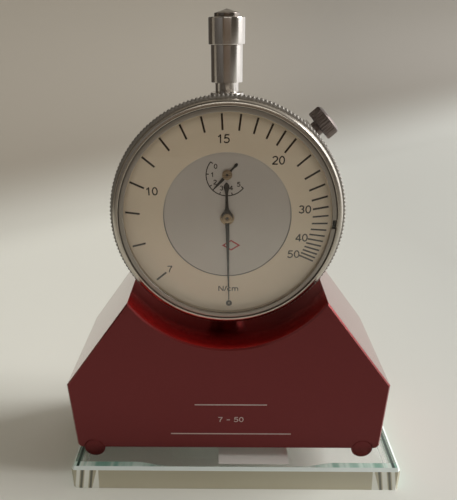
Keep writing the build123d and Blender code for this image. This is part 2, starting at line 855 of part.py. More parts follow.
def split_ring(ring, gap, angle, reach):
    """Cuts a gap through one side of a ring about the dial centre."""
    cutter = Pos(reach, 0, 0) * Box(2 * case_wall, 2 * (ridge_front + overrun), gap)
    return ring - Pos(0, 0, gauge_z) * Rot(Y=-angle) * cutter


def make_snap_ring():
    outer = ridge_inner_radius + snap_ring_groove_depth
    ring = dial_ring(outer, snap_ring_inner_radius, crystal_front + snap_ring_thickness, crystal_front)
    return split_ring(ring, snap_ring_gap, snap_ring_gap_angle, outer)


def make_retaining_wire():
    outer = case_radius + running_clearance + retaining_wire_engagement
    inner = case_radius - retaining_wire_engagement
    front = retaining_wire_setback
    ring = dial_ring(outer, inner, front, front - retaining_wire_thickness)
    return split_ring(ring, retaining_wire_gap, 180, outer)


def make_crystal():
    radius = ridge_inner_radius - crystal_side_gap
    return dial_disc(radius, crystal_front, crystal_back)


def make_crystal_gasket():
    radius = ridge_inner_radius - crystal_side_gap
    return dial_ring(radius, gasket_inner_radius, crystal_back, dial_front + ledge_thickness)


def make_dial_scale_ring():
    outer = case_radius
    return dial_ring(outer, scale_ring_inner_radius, dial_front, dial_front - scale_ring_thickness)


# Movement

def pillar_points():
    return [polar_point(pillar_ring_radius, angle) for angle in pillar_angles]


def web_screw_points():
    return [polar_point(web_screw_ring_radius, angle) for angle in web_screw_angles]


def make_dial_centre_disc():
    disc = dial_disc(centre_disc_radius, dial_front, case_front)
    for side in (-1, 1):
        disc += dial_disc(dial_foot_radius, case_front, front_plate_front, side * dial_foot_offset)
    disc -= dial_disc(centre_hole_radius, dial_front + overrun, case_front - overrun)
    counter_hole = dial_disc(counter_hole_radius, dial_front + overrun, case_front - overrun, 0, gear_centre_distance)
    return disc - counter_hole


def drilled(plate, front, back):
    """Cuts the arbor bearings and the pillar screws' holes through a movement plate."""
    bearings = [(0, 0), (0, gear_centre_distance), (rack_arbor_x, rack_arbor_z)]
    for x, z in bearings:
        plate -= dial_disc(arbor_bearing_radius, front + overrun, back - overrun, x, z)
    for x, z in pillar_points():
        plate -= dial_disc(pillar_screw_radius, front + overrun, back - overrun, x, z)
    return plate


def make_movement_front_plate():
    plate = dial_disc(movement_radius, front_plate_front, front_plate_back)
    plate = drilled(plate, front_plate_front, front_plate_back)
    for x, z in web_screw_points():
        plate -= dial_disc(web_screw_radius, front_plate_front + overrun, front_plate_back - overrun, x, z)
    return plate


def make_movement_back_plate():
    plate = dial_disc(movement_radius, back_plate_front, back_plate_back)
    return drilled(plate, back_plate_front, back_plate_back)


def make_movement_pillars():
    pillars = []
    for x, z in pillar_points():
        pillar = dial_disc(pillar_radius, front_plate_back, back_plate_front, x, z)
        pillars.append(pillar - dial_disc(pillar_screw_radius, front_plate_front, back_plate_back, x, z))
    return Compound(pillars)


def make_movement_screws():
    """Screws of the pillars, from behind, and of the front plate on the case's web."""
    screws = []
    seat = back_plate_back
    for x, z in pillar_points():
        head = dial_disc(pillar_screw_head_radius, seat, seat - pillar_screw_head_height, x, z)
        screws.append(head + dial_disc(pillar_screw_radius, front_plate_front, seat, x, z))
    seat = front_plate_back
    for x, z in web_screw_points():
        head = dial_disc(pillar_screw_head_radius, seat, seat - pillar_screw_head_height, x, z)
        tip = front_plate_front + web_screw_length / 2
        screws.append(head + dial_disc(web_screw_radius, tip, seat, x, z))
    return Compound(screws)


def make_pinion_bridge():
    """Cock on the back plate: a leg beside the rack pinion and an arm behind it with the rear bearing."""
    tip_radius = rack_pinion_radius + addendum_share * gear_module
    leg_right = rack_arbor_x - tip_radius - bridge_leg_gap
    leg_left = leg_right - bridge_leg_width
    low = gauge_z + rack_arbor_z - bridge_height / 2
    high = low + bridge_height
    arm_front = spindle_radius + bridge_arm_gap
    arm_back = arm_front + bridge_arm_thickness
    leg = block(leg_left, leg_right, -back_plate_back, arm_back, low, high)
    arm = block(leg_left, rack_arbor_x + bridge_arm_reach, arm_front, arm_back, low, high)
    bearing = dial_disc(arbor_bearing_radius, -arm_front + overrun, -arm_back - overrun, rack_arbor_x, rack_arbor_z)
    return leg + arm - bearing


def make_guide_block():
    """Block on the back plate, with the slot that keeps the spindle from turning."""
    near = guide_block_near
    far = near + guide_block_width
    low = gauge_z + guide_block_low
    high = gauge_z + guide_block_high
    slot_half = guide_pin_radius + guide_slot_clearance
    body = block(near, far, -back_plate_back, guide_block_back, low, high)
    return body - block(near - overrun, far + overrun, -slot_half, slot_half, low + overrun, high + overrun)


def make_spring_post():
    z = guide_pin_rise - return_spring_length
    return dial_disc(spring_post_radius, back_plate_back, -spring_post_back, return_spring_offset, z)


def make_return_spring():
    high = gauge_z + guide_pin_rise - guide_pin_radius - rest_gap
    low = gauge_z + guide_pin_rise - return_spring_length + spring_post_radius + rest_gap
    inner = return_spring_radius - return_spring_wall
    return tube_along_z(return_spring_radius, inner, low, high, return_spring_offset, 0)


# Arbors and gears

rack_line_angle = math.degrees(math.atan2(rack_arbor_z, rack_arbor_x))
centre_pinion_phase = 90.0
counter_gear_phase = meshing_phase(centre_pinion_teeth, centre_pinion_phase, 90.0, wheel_teeth)
rack_gear_phase = meshing_phase(centre_pinion_teeth, centre_pinion_phase, rack_line_angle, wheel_teeth)


def pivoted_arbor(front, x=0, z=0):
    """Arbor from its front end to the back plate's bearing; it is thin where it runs in the two plates."""
    shoulder_front = front_plate_back - rest_gap
    shoulder_back = back_plate_front + rest_gap
    arbor = dial_disc(arbor_radius, shoulder_front, shoulder_back, x, z)
    arbor += dial_disc(pivot_radius, front, shoulder_front, x, z)
    return arbor + dial_disc(pivot_radius, shoulder_back, back_plate_back + rest_gap, x, z)


def make_centre_pinion():
    pinion = flat_piece(gear_outline(centre_pinion_teeth, centre_pinion_phase), pinion_front, pinion_back)
    return pinion + pivoted_arbor(pointer_hub_back)


def make_wheel(phase, x, z):
    wheel = flat_piece(gear_outline(wheel_teeth, phase), wheel_front, wheel_front - wheel_thickness, x, z)
    wheel += dial_disc(hub_radius, wheel_front, wheel_front - wheel_thickness - hub_thickness, x, z)
    return wheel - dial_disc(arbor_radius, wheel_front + overrun, back_plate_back, x, z)


def make_counter_gear():
    return make_wheel(counter_gear_phase, 0, gear_centre_distance)


def make_counter_arbor():
    return pivoted_arbor(dial_front, 0, gear_centre_distance)


def make_rack_gear():
    return make_wheel(rack_gear_phase, rack_arbor_x, rack_arbor_z)


def make_rack_pinion():
    """Arbor through both plates, with the rack pinion behind the back plate and a rear pivot in the bridge."""
    half = rack_pinion_length / 2
    x = rack_arbor_x
    z = rack_arbor_z
    arm_front = spindle_radius + bridge_arm_gap
    pinion = flat_piece(gear_outline(rack_pinion_teeth, 0), half, -half, x, z)
    arbor = dial_disc(arbor_radius, front_plate_back - rest_gap, back_plate_front + rest_gap, x, z)
    arbor += dial_disc(pivot_radius, front_plate_front - rest_gap, -arm_front - bridge_arm_thickness, x, z)
    return pinion + arbor


def make_hairspring():
    """Flat spiral of half turns about two centres in turn, each wider than the last by half the pitch."""
    step = hairspring_pitch / 2
    half_thickness = hairspring_thickness / 2
    inner_edge = []
    outer_edge = []
    angle = 0
    for turn in range(hairspring_half_turns):
        radius = hairspring_inner_radius + turn * step
        centre_x = 0 if turn % 2 == 0 else step
        outer_edge.append(CenterArc((centre_x, 0), radius + half_thickness, angle, 180))
        inner_edge.append(CenterArc((centre_x, 0), radius - half_thickness, angle, 180))
        angle = 180 - angle
    start = Line(inner_edge[0] @ 0, outer_edge[0] @ 0)
    end = Line(inner_edge[-1] @ 1, outer_edge[-1] @ 1)
    ribbon = make_face(Wire(outer_edge + [end] + inner_edge + [start]))
    spiral = flat_piece(ribbon, hairspring_front, hairspring_front - hairspring_width, 0, gear_centre_distance)
    collet = dial_disc(
        hairspring_inner_radius, hairspring_front, hairspring_front - hairspring_width, 0, gear_centre_distance
    )
    bore = dial_disc(
        arbor_radius, hairspring_front + overrun, hairspring_front - hairspring_width - overrun,
        0, gear_centre_distance,
    )
    return spiral + collet - bore


# Hands

def hand_outline(tip, tip_width, tail, tail_width, root_width, eye_radius):
    """Hand that points up, tapering both ways from the eye round its arbor."""
    outline = Polyline(
        (-tail_width / 2, -tail),
        (-root_width / 2, 0),
        (-tip_width / 2, tip),
        (tip_width / 2, tip),
        (root_width / 2, 0),
        (tail_width / 2, -tail),
        close=True,
    )
    return make_face(outline) + Circle(eye_radius) - Circle(pivot_radius)


def make_main_pointer():
    face = hand_outline(
        pointer_tip_reach, pointer_tip_width, pointer_tail_reach, pointer_tail_width,
        pointer_root_width, pointer_eye_radius,
    )
    spade = Pos(0, -pointer_spade_reach) * Circle(pointer_spade_radius)
    return flat_piece(Rot(Z=180) * (face + spade), pointer_front, pointer_front - pointer_thickness)


def make_pointer_hub():
    hub_split = pointer_front
    hub = dial_disc(pointer_hub_radius, pointer_hub_front, hub_split)
    hub += dial_disc(pointer_boss_radius, hub_split - pointer_thickness, pointer_hub_back)
    hub += dial_disc(pivot_radius, hub_split, hub_split - pointer_thickness)
    return hub


def make_counter_pointer():
    face = hand_outline(
        counter_tip_reach, counter_tip_width, counter_tail_reach, counter_tip_width,
        counter_root_width, counter_eye_radius,
    )
    back = counter_pointer_front - pointer_thickness
    return flat_piece(Rot(Z=counter_pointer_angle) * face, counter_pointer_front, back, 0, gear_centre_distance)


def make_counter_hub():
    z = gear_centre_distance
    split = counter_pointer_front
    hub = dial_disc(counter_hub_radius, counter_hub_front, split, 0, z)
    return hub + dial_disc(pivot_radius, split, dial_front, 0, z)


nodes = {
    "calibration_plate": make_calibration_plate(),
    "calibration_label": make_calibration_label(),
    "base_housing": make_base_housing(),
    "support_rod_left": make_support_rod(-1),
    "support_rod_right": make_support_rod(1),
    "rod_screws": make_rod_screws(),
    "bottom_cover": make_bottom_cover(),
    "bottom_cover_screws": make_bottom_cover_screws(),
    "guide_bushes": make_guide_bushes(),
    "stem_clamp_screw": make_stem_clamp_screw(),
    "load_springs": make_load_springs(),
    "measuring_bar": make_measuring_bar(),
    "bar_carrier": make_bar_carrier(),
    "bar_screws": make_bar_screws(),
    "guide_pins": make_guide_pins(),
    "coupling_stud": make_coupling_stud(),
    "lock_nut": make_lock_nut(),
    "spindle": make_spindle(),
    "anti_rotation_pin": make_anti_rotation_pin(),
    "lifting_cap": make_lifting_cap(),
    "finial_screw": make_finial_screw(),
    "gauge_case": make_gauge_case(),
    "lower_stem": make_lower_stem(),
    "upper_sleeve": make_upper_sleeve(),
    "top_collar": make_top_collar(),
    "back_cover": make_back_cover(),
    "back_cover_screws": make_back_cover_screws(),
    "bezel_lock_plate": make_bezel_lock_plate(),
    "bezel_lock_screw": make_bezel_lock_screw(),
    "bezel_ring": make_bezel_ring(),
    "bezel_retaining_wire": make_retaining_wire(),
    "crystal": make_crystal(),
    "crystal_gasket": make_crystal_gasket(),
    "crystal_snap_ring": make_snap_ring(),
    "dial_scale_ring": make_dial_scale_ring(),
    "dial_centre_disc": make_dial_centre_disc(),
    "movement_front_plate": make_movement_front_plate(),
    "movement_back_plate": make_movement_back_plate(),
    "movement_pillars": make_movement_pillars(),
    "movement_screws": make_movement_screws(),
    "pinion_bridge": make_pinion_bridge(),
    "guide_block": make_guide_block(),
    "spring_post": make_spring_post(),
    "return_spring": make_return_spring(),
    "centre_pinion": make_centre_pinion(),
    "rack_pinion": make_rack_pinion(),
    "rack_gear": make_rack_gear(),
    "counter_gear": make_counter_gear(),
    "counter_arbor": make_counter_arbor(),
    "hairspring": make_hairspring(),
    "main_pointer": make_main_pointer(),
    "pointer_hub": make_pointer_hub(),
    "counter_pointer": make_counter_pointer(),
    "counter_hub": make_counter_hub(),
}

os.makedirs("parts", exist_ok=True)
for name, piece in nodes.items():
    export_step(Pos(-plate_shift, 0, 0) * piece, f"parts/{name}.step")
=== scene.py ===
"""Looks of the screen tension meter: a dial gauge in the scoop of a red base, standing on its glass plate."""

import json
import math

import bmesh
import bpy
import numpy as np
from bpy.props import FloatProperty, FloatVectorProperty, IntProperty, PointerProperty
from mathutils import Matrix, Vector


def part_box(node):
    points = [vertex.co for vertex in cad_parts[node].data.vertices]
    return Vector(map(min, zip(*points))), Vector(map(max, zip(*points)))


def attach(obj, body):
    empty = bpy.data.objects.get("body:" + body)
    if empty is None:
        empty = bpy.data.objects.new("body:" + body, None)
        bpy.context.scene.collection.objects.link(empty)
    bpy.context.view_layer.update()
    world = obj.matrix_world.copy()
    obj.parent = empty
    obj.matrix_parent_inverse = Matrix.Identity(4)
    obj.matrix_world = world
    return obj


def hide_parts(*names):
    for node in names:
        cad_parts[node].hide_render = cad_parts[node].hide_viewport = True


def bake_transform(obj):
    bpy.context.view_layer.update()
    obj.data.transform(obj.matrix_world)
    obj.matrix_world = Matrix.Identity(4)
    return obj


bl_info = {
    "name": "Screen tension meter",
    "version": (1, 0, 0),
    "blender": (4, 5, 0),
    "location": "View3D > Sidebar > Tension meter",
    "description": "Dresses the screen tension meter and sets up its studio",
    "category": "Object",
}

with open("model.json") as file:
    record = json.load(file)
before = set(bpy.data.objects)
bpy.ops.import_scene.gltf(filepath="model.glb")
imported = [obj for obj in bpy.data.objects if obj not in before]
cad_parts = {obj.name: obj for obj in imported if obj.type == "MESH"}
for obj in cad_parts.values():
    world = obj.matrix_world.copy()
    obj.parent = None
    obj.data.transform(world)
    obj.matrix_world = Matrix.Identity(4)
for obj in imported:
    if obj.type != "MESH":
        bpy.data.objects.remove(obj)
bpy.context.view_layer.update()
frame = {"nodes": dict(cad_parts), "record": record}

MM = 0.001
# Half the thickness of printing, in millimetres.
PRINT = 0.02
# The camera as fitted to the picture, in pixels, radians and millimetres.
PICTURE_WIDTH, PICTURE_HEIGHT = 457, 500
FOCAL_LENGTH, CENTRE_ACROSS, CENTRE_DOWN = 569.5251, 213.4205, 298.4524
PITCH, YAW, ROLL = 0.4498, -0.0284, -0.0136
EYE = np.array([-1.8188, -149.2505, 120.8302])
SENSOR_WIDTH = 36.0


def node_box(node):
    """Lowest and highest corner of a CAD node, in millimetres."""
    return [np.array(corner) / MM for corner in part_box(node)[:2]]


spindle_x, _, gauge_z = sum(node_box("crystal")) / 2
counter_z = sum(node_box("counter_hub"))[2] / 2
base_bottom = node_box("base_housing")[0][2]
base_front = -node_box("base_housing")[0][1]
dial_front = -node_box("dial_scale_ring")[0][1]
lock_angle = math.radians(41)
lock_back = 2.0

# A place is an origin and three directions: across, up and out. Lengths in it are millimetres.
to_front = np.array([[1, 0, 0], [0, 0, 1], [0, -1, 0]], float)
to_lock = np.array(
    [[math.sin(lock_angle), 0, -math.cos(lock_angle)], [0, 1, 0], [math.cos(lock_angle), 0, math.sin(lock_angle)]]
)
dial_place = (np.array([spindle_x, 0, gauge_z]), to_front)
counter_place = (np.array([spindle_x, 0, counter_z]), to_front)
base_place = (np.array([spindle_x, 0, base_bottom]), to_front)
stem_place = (np.array([spindle_x, 0, 0]), np.eye(3))
lock_place = (np.array([spindle_x, lock_back, gauge_z]), to_lock)


def amount(subtype, unit=1.0, top=1000.0):
    """One kind of setting, made from a name, a description and a value in its unit."""
    return lambda name, description, value: FloatProperty(
        name=name, description=description, default=value * unit, min=0.0, max=top, subtype=subtype
    )


length = amount("DISTANCE", MM)
angle = amount("ANGLE", math.radians(1))
share = amount("FACTOR", top=1.0)
power = amount("POWER")


def colour(name, description, *parts):
    return FloatVectorProperty(
        name=name, description=description, subtype="COLOR", size=3, default=parts, min=0.0, max=1.0
    )


def number(name, description, value, least):
    return IntProperty(name=name, description=description, default=value, min=least)


class DialSettings(bpy.types.PropertyGroup):
    mark_length: length("Mark length", "Radial length of the scale's marks", 4.0)
    mark_width: length("Mark width", "Width of the marks up to 30", 0.5)
    fine_mark_width: length("Fine mark width", "Width of the crowded marks", 0.42)
    mark_reach: length("Mark reach", "Radius where the marks end", 25.9)
    digit_height: length("Digit height", "Height of the scale's numbers", 2.16)
    counter_radius: length("Counter radius", "Radius of the turn counter's arc", 5.2)
    ring_colour: colour("Scale ring", "Colour of the outer dial", 0.82, 0.70, 0.54)
    disc_colour: colour("Centre disc", "Colour of the inner dial", 0.58, 0.535, 0.49)
    emblem_colour: colour("Emblem", "Colour of the plain mark under the hub", 0.45, 0.02, 0.03)


class BaseSettings(bpy.types.PropertyGroup):
    colour: colour("Red", "Colour of the base's red finish", 0.15, 0.019, 0.02)
    side_colour: colour("Side red", "Colour of the milled sides under their gloss", 0.27, 0.03, 0.03)
    scoop_colour: colour("Scoop", "Colour of the polished scoop", 0.60, 0.016, 0.016)
    face_roughness: share("Face roughness", "Roughness of the blasted front and back", 0.46)
    side_roughness: share("Side roughness", "Roughness of the milled sides", 0.22)
    scoop_roughness: share("Scoop roughness", "Roughness of the scoop under the dial", 0.2)
    scoop_radius: length("Scoop radius", "Radius of the scoop", 30.5)
    scoop_height: length("Scoop centre", "Height of the scoop's axis over the base's underside", 63.5)


class BezelSettings(bpy.types.PropertyGroup):
    knurl_teeth: number("Knurl teeth", "Number of straight teeth round the bezel", 180, 12)
    knurl_depth: length("Knurl depth", "Depth of the bezel's teeth", 0.35)
    edge_radius: length("Edge radius", "Rounding of turned edges", 0.12)
    knob_ribs: number("Knob ribs", "Number of straight ribs on the bezel's lock", 32, 6)
    metal_colour: colour("Satin metal", "Colour of the bezel's metal", 0.55, 0.505, 0.44)


class StageSettings(bpy.types.PropertyGroup):
    key_power: power("Front light", "Power of the soft light above the camera", 1.7)
    side_power: power("Side light", "Power of the soft light on the right", 340.0)
    room_strength: share("Room light", "Strength of the room's own light", 0.4)
    wall_swing: angle("Wall swing", "How far the wall is turned from straight behind", 38)
    floor_colour: colour("Floor", "Colour of the floor", 0.87, 0.87, 0.79)
    near_colour: colour("Floor in front", "Colour of the floor that the bezel mirrors", 0.21, 0.18, 0.145)
    wall_colour: colour("Wall", "Colour of the wall", 0.29, 0.258, 0.208)
    # Painted shade: a tint that darkens floor and wall on the right.
    right_colour: colour("Right side", "Tint that darkens floor and wall on the right", 0.78, 0.79, 0.81)


class MeterSettings(bpy.types.PropertyGroup):
    dial: PointerProperty(type=DialSettings, name="Dial", description="Sizes and colours of the dial's printing")
    base: PointerProperty(type=BaseSettings, name="Base", description="Finish of the red base")
    bezel: PointerProperty(type=BezelSettings, name="Bezel", description="Turned and knurled metal")
    stage: PointerProperty(type=StageSettings, name="Stage", description="Floor, wall and lights")


def settings():
    return bpy.context.scene.tension_meter


# Surfaces


def unit(vectors):
    return vectors / np.maximum(np.linalg.norm(vectors, axis=-1, keepdims=True), 1e-12)


def softened(corners, radius):
    """Closed outline with rounded corners. Each corner is left and joined again at radius from it, along
    (1 - t)^2 before + 2 t (1 - t) corner + t^2 after."""
    corners = np.asarray(corners, float)
    radius = np.broadcast_to(radius, len(corners))
    ways = [np.roll(corners, shift, axis=0) - corners for shift in (1, -1)]
    reaches = [np.minimum(radius, 0.45 * np.linalg.norm(way, axis=1))[:, None] for way in ways]
    first, last = [(corners + unit(way) * reach)[:, None] for way, reach in zip(ways, reaches)]
    t = np.linspace(0, 1, 4)[None, :, None]
    return ((1 - t) ** 2 * first + 2 * t * (1 - t) * corners[:, None] + t**2 * last).reshape(-1, 2)


def full_turn(count):
    return np.linspace(0, 2 * np.pi, count, endpoint=False)


def flat_ring(inner, outer, low, high):
    return [(inner, low), (outer, low), (outer, high), (inner, high)]


def turned(radius, height, angles):
    """Surface of revolution. A point at radius r and height h, turned by an angle a from the across direction,
    lies at r cos a across, r sin a up and h out."""
    return np.stack([radius * np.cos(angles), radius * np.sin(angles), height + 0 * angles], axis=-1)


def ribbed(outline, depth, ribs, power):
    """Straight ribs round an axis. The outline gives radius r, height and the share s of the ribs' depth d. At an
    angle a the radius is r + s d (1/2 + 1/2 cos(ribs a))^power."""
    radius, height, swell = np.asarray(outline, float).T[:, :, None]
    angles = full_turn(ribs * 8)[None, :]
    crest = (0.5 + 0.5 * np.cos(angles * ribs)) ** power
    return turned(radius + swell * depth * crest, height, angles)


def raised(flat, level):
    """Points across and up, lifted to a height."""
    return np.concatenate([flat, np.full(flat.shape[:-1] + (1,), level)], -1)


# A stroke with this many points is closed.
LOOP = 25


def bow(across, up, wide, tall, start, end, count=11):
    """Arc of an ellipse: across + wide cos a, up + tall sin a, with a from start to end in degrees."""
    a = np.radians(np.linspace(start, end, count))
    return np.stack([across + wide * np.cos(a), up + tall * np.sin(a)], -1)


# Each letter's strokes and, where it isn't a digit's, how far the pen moves on, in shares of the height.
DIGIT_WIDTH = 0.77
LETTERS = {
    "0": [bow(0.38, 0.5, 0.27, 0.5, 0, 360 - 360 / LOOP, LOOP)],
    "1": [[(0.45, -0.06), (0.45, 1.06)], [(0.45, 1.0), (0.34, 0.86), (0.18, 0.77)]],
    "2": [np.vstack([bow(0.38, 0.73, 0.27, 0.27, 165, -38), [(0.1, 0.02)]]), [(0.06, 0.0), (0.68, 0.0)]],
    "3": [bow(0.36, 0.76, 0.24, 0.24, 160, -88), bow(0.36, 0.27, 0.28, 0.27, 84, -160)],
    "4": [[(0.53, -0.06), (0.53, 1.06)], [(0.52, 1.0), (0.07, 0.27)], [(0.03, 0.26), (0.74, 0.26)]],
    "5": [[(0.66, 1.0), (0.2, 1.0)], [(0.22, 1.04), (0.15, 0.5)], bow(0.34, 0.32, 0.31, 0.32, 118, -150)],
    "7": [[(0.06, 1.0), (0.7, 1.0)], [(0.68, 1.0), (0.47, 0.66), (0.33, 0.3), (0.29, -0.06)]],
    "N": [[(0.13, -0.06), (0.13, 1.06)], [(0.15, 1.04), (0.81, -0.04)], [(0.83, -0.06), (0.83, 1.06)]],
    "/": [[(0.0, -0.06), (0.36, 1.06)]],
    "c": [bow(0.37, 0.33, 0.28, 0.35, 42, 318)],
    "m": [
        [(0.12, -0.06), (0.12, 0.7)], np.vstack([bow(0.34, 0.45, 0.22, 0.22, 180, 0), [(0.56, -0.06)]]),
        np.vstack([bow(0.78, 0.45, 0.22, 0.22, 180, 0), [(1.0, -0.06)]]),
    ],
    "-": [[(0.14, 0.42), (0.63, 0.42)]],
    " ": [],
}
WIDTHS = {"N": 1.02, "/": 0.42, "c": 0.74, "m": 1.16, " ": 0.4}


class Shell:
    """Points and faces of one piece, gathered from whole grids."""

    def __init__(self, place):
        self.place = place
        self.points = []
        self.faces = []
        self.count = 0

    def add(self, points, faces):
        self.faces += (faces + self.count).tolist()
        self.points.append(points.reshape(-1, 3))
        self.count += points.size // 3
        return self

    def grid(self, points, round_rows=False, round_columns=False):
        """Quads between neighbouring rows and columns; a round direction joins its last to its first."""
        rows, columns = points.shape[:2]
        here = np.arange(rows * columns).reshape(rows, columns)
        right = np.roll(here, -1, 1)
        quads = np.stack([here, right, np.roll(right, -1, 0), np.roll(here, -1, 0)], -1)
        quads = quads[:rows - (not round_rows), :columns - (not round_columns)]
        return self.add(points, quads.reshape(-1, 4))

    def patch(self, points):
        """One flat face through the points in order."""
        return self.add(points, np.arange(len(points))[None])

    def bar(self, points):
        """A surface round its rows, shut at both ends."""
        return self.grid(points, False, True).patch(points[0]).patch(points[-1])

    def ring(self, outline, count):
        """A closed outline of radius and height, turned all the way round."""
        radius, height = np.asarray(outline, float).T[:, :, None]
        return self.grid(turned(radius, height, full_turn(count)[None, :]), True, True)

    def arc(self, outline, start, end, count):
        """A closed outline turned from start to end, in degrees, with both ends shut."""
        radius, height = np.asarray(outline, float).T[:, :, None]
        angles = np.radians(np.linspace(start, end, count))[None, :]
        swept = turned(radius, height, angles)
        self.grid(swept, True, False)
        return self.patch(swept[:, 0]).patch(swept[:, -1])

    def blocks(self, centres, directions, lengths, widths, low, high):
        """Flat bars in the plane of across and up. A corner is centre + s length/2 direction + t width/2 side,
        with s and t at -1 and 1, once at height low and once at height high."""
        centres = np.asarray(centres, float)
        directions = np.broadcast_to(directions, centres.shape)
        side = np.stack([-directions[:, 1], directions[:, 0]], -1)
        reach, half = [np.broadcast_to(size, len(centres))[:, None, None] / 2 for size in (lengths, widths)]
        s = np.array([-1, 1, 1, -1])[None, :, None]
        t = np.array([-1, -1, 1, 1])[None, :, None]
        for loop in centres[:, None] + s * reach * directions[:, None] + t * half * side[:, None]:
            self.bar(np.stack([raised(loop, low), raised(loop, high)]))
        return self

    def stroke(self, path, width, low, high, closed=False):
        """A flat band along a path: each point goes half a width to either side, square to the path."""
        path = np.asarray(path, float)
        ahead = np.roll(path, -1, 0) - np.roll(path, 1, 0) if closed else np.gradient(path, axis=0)
        side = unit(np.stack([-ahead[:, 1], ahead[:, 0]], -1)) * width / 2
        left, right = path - side, path + side
        points = np.stack([raised(left, low), raised(right, low), raised(right, high), raised(left, high)], 1)
        return self.grid(points, True, True) if closed else self.bar(points)

    def words(self, text, height, across, up, low, high, wide=1.0, thick=0.15):
        """Plain stroke lettering, centred on a point; wide stretches it and thick is the stroke over the height."""
        paths, pen = [], 0.0
        for letter in text:
            paths += [np.asarray(path, float) + [pen, 0] for path in LETTERS[letter]]
            pen += WIDTHS.get(letter, DIGIT_WIDTH)
        reach = np.concatenate(paths)[:, 0]
        middle = [(reach.max() + reach.min()) / 2, 0.5]
        for path in paths:
            loop = len(path) == LOOP
            path = (path - middle) * [height * wide, height * (1 - thick)] + [across, up]
            self.stroke(path, height * thick, low, high, loop)
        return self

    def make(self, name, body, finish, replaces=(), slot=None, sharp=38):
        """Makes a piece whose object sits at the origin and moves with a body, if one is named."""
        origin, axes = self.place
        points = (origin + np.concatenate(self.points) @ axes) * MM
        mesh = bpy.data.meshes.new(name)
        mesh.from_pydata(points.tolist(), [], self.faces)
        soft = bmesh.new()
        soft.from_mesh(mesh)
        bmesh.ops.remove_doubles(soft, verts=soft.verts, dist=1e-7)
        bmesh.ops.recalc_face_normals(soft, faces=soft.faces)
        soft.to_mesh(mesh)
        soft.free()
        mesh.shade_smooth()
        mesh.set_sharp_from_angle(angle=math.radians(sharp))
        mesh.materials.append(finish)
        piece = put(name, mesh)
        if body:
            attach(piece, body)
        if replaces:
            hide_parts(*replaces)
        return piece


def put(name, data):
    """A new object at the scene's origin."""
    made = bpy.data.objects.new(name, data)
    bpy.context.scene.collection.objects.link(made)
    return made


def lathe(name, body, place, corners, edges, count, finish, node, slot):
    """A turned piece in the place of a CAD node. Its outline's corners are radius and height."""
    Shell(place).ring(softened(corners, edges), count).make(name, body, finish, [node], slot)


# Materials


def arithmetic(operation):
    """A method that adds a Math node."""
    return lambda first, second: first.maths(operation, first, second)


class Signal:
    """A value on its way through a material's nodes. Arithmetic on it adds Math nodes."""

    def __init__(self, graph, socket):
        self.graph = graph
        self.socket = socket

    def maths(self, operation, *values):
        return self.graph.node("ShaderNodeMath", {"operation": operation}, dict(enumerate(values)))

    __add__ = __radd__ = arithmetic("ADD")
    __mul__ = __rmul__ = arithmetic("MULTIPLY")
    __sub__ = arithmetic("SUBTRACT")
    __truediv__ = arithmetic("DIVIDE")
    __pow__ = arithmetic("POWER")
    __lt__ = arithmetic("LESS_THAN")
    __gt__ = arithmetic("GREATER_THAN")

    def __rsub__(self, other):
        return self.maths("SUBTRACT", other, self)

    def __abs__(self):
        return self.maths("ABSOLUTE", self)

    def root(self):
        return self.maths("SQRT", self)


class Graph:
    """The nodes of one material or of the room's light."""

    def __init__(self, tree):
        self.tree = tree

    def node(self, kind, options=None, inputs=None, output=0):
        made = self.tree.nodes.new(kind)
        for key, value in (options or {}).items():
            setattr(made, key, value)
        for key, value in (inputs or {}).items():
            if isinstance(value, Signal):
                self.tree.links.new(value.socket, made.inputs[key])
            else:
                made.inputs[key].default_value = value
        return Signal(self, made.outputs[output])

    def place(self):
        """Object coordinates, in metres."""
        return self.node("ShaderNodeTexCoord", output=3)

    def along(self, axis):
        """Distance in metres along one axis."""
        return self.parts(self.place())[axis]

    def parts(self, vector):
        """The three parts of a vector, as signals."""
        first = self.node("ShaderNodeSeparateXYZ", inputs={0: vector})
        return [Signal(self, first.socket.node.outputs[n]) for n in range(3)]

    def facing(self, axis):
        """How squarely the surface faces along an axis, from 0 to 1."""
        return abs(self.parts(self.node("ShaderNodeNewGeometry", output=1))[axis])

    def noise(self, scale, detail=3.0, vector=None, roughness=0.5):
        """Fractal noise from 0 to 1; scale is in lumps per metre."""
        return self.node(
            "ShaderNodeTexNoise", None,
            {"Vector": vector or self.place(), "Scale": scale, "Detail": detail, "Roughness": roughness},
        )

    def stretched(self, factors):
        """Object coordinates, scaled along each axis, for streaks."""
        return self.node("ShaderNodeMapping", {"vector_type": "POINT"}, {"Vector": self.place(), "Scale": factors})

    def mix(self, factor, first, second, blend="MIX"):
        """Colour between two colours."""
        options = {"data_type": "RGBA", "blend_type": blend}
        return self.node("ShaderNodeMix", options, {0: factor, 6: first, 7: second}, 2)

    def fade(self, value, low, high, start=0.0, end=1.0):
        """Smooth step: start below low, end above high."""
        return self.node(
            "ShaderNodeMapRange", {"interpolation_type": "SMOOTHSTEP"}, {0: value, 1: low, 2: high, 3: start, 4: end}
        )

    def relief(self, height, distance, strength):
        """Bump from a height of 0 to 1 over a distance in metres."""
        return self.node("ShaderNodeBump", None, {"Height": height, "Distance": distance, "Strength": strength})


finishes_made = {}


def rgb(colour):
    return (*colour, 1.0)


def finish(name, recipe, **sockets):
    """A material with one Principled shader. recipe(graph) returns what varies over the surface."""
    if name in finishes_made:
        return finishes_made[name]
    material = finishes_made[name] = bpy.data.materials.new(name)
    material.use_nodes = True
    tree = material.node_tree
    shader = next(n for n in tree.nodes if n.type == "BSDF_PRINCIPLED")
    for key, value in {**sockets, **(recipe(Graph(tree)) if recipe else {})}.items():
        if isinstance(value, Signal):
            tree.links.new(value.socket, shader.inputs[key])
        else:
            shader.inputs[key].default_value = value
    return material


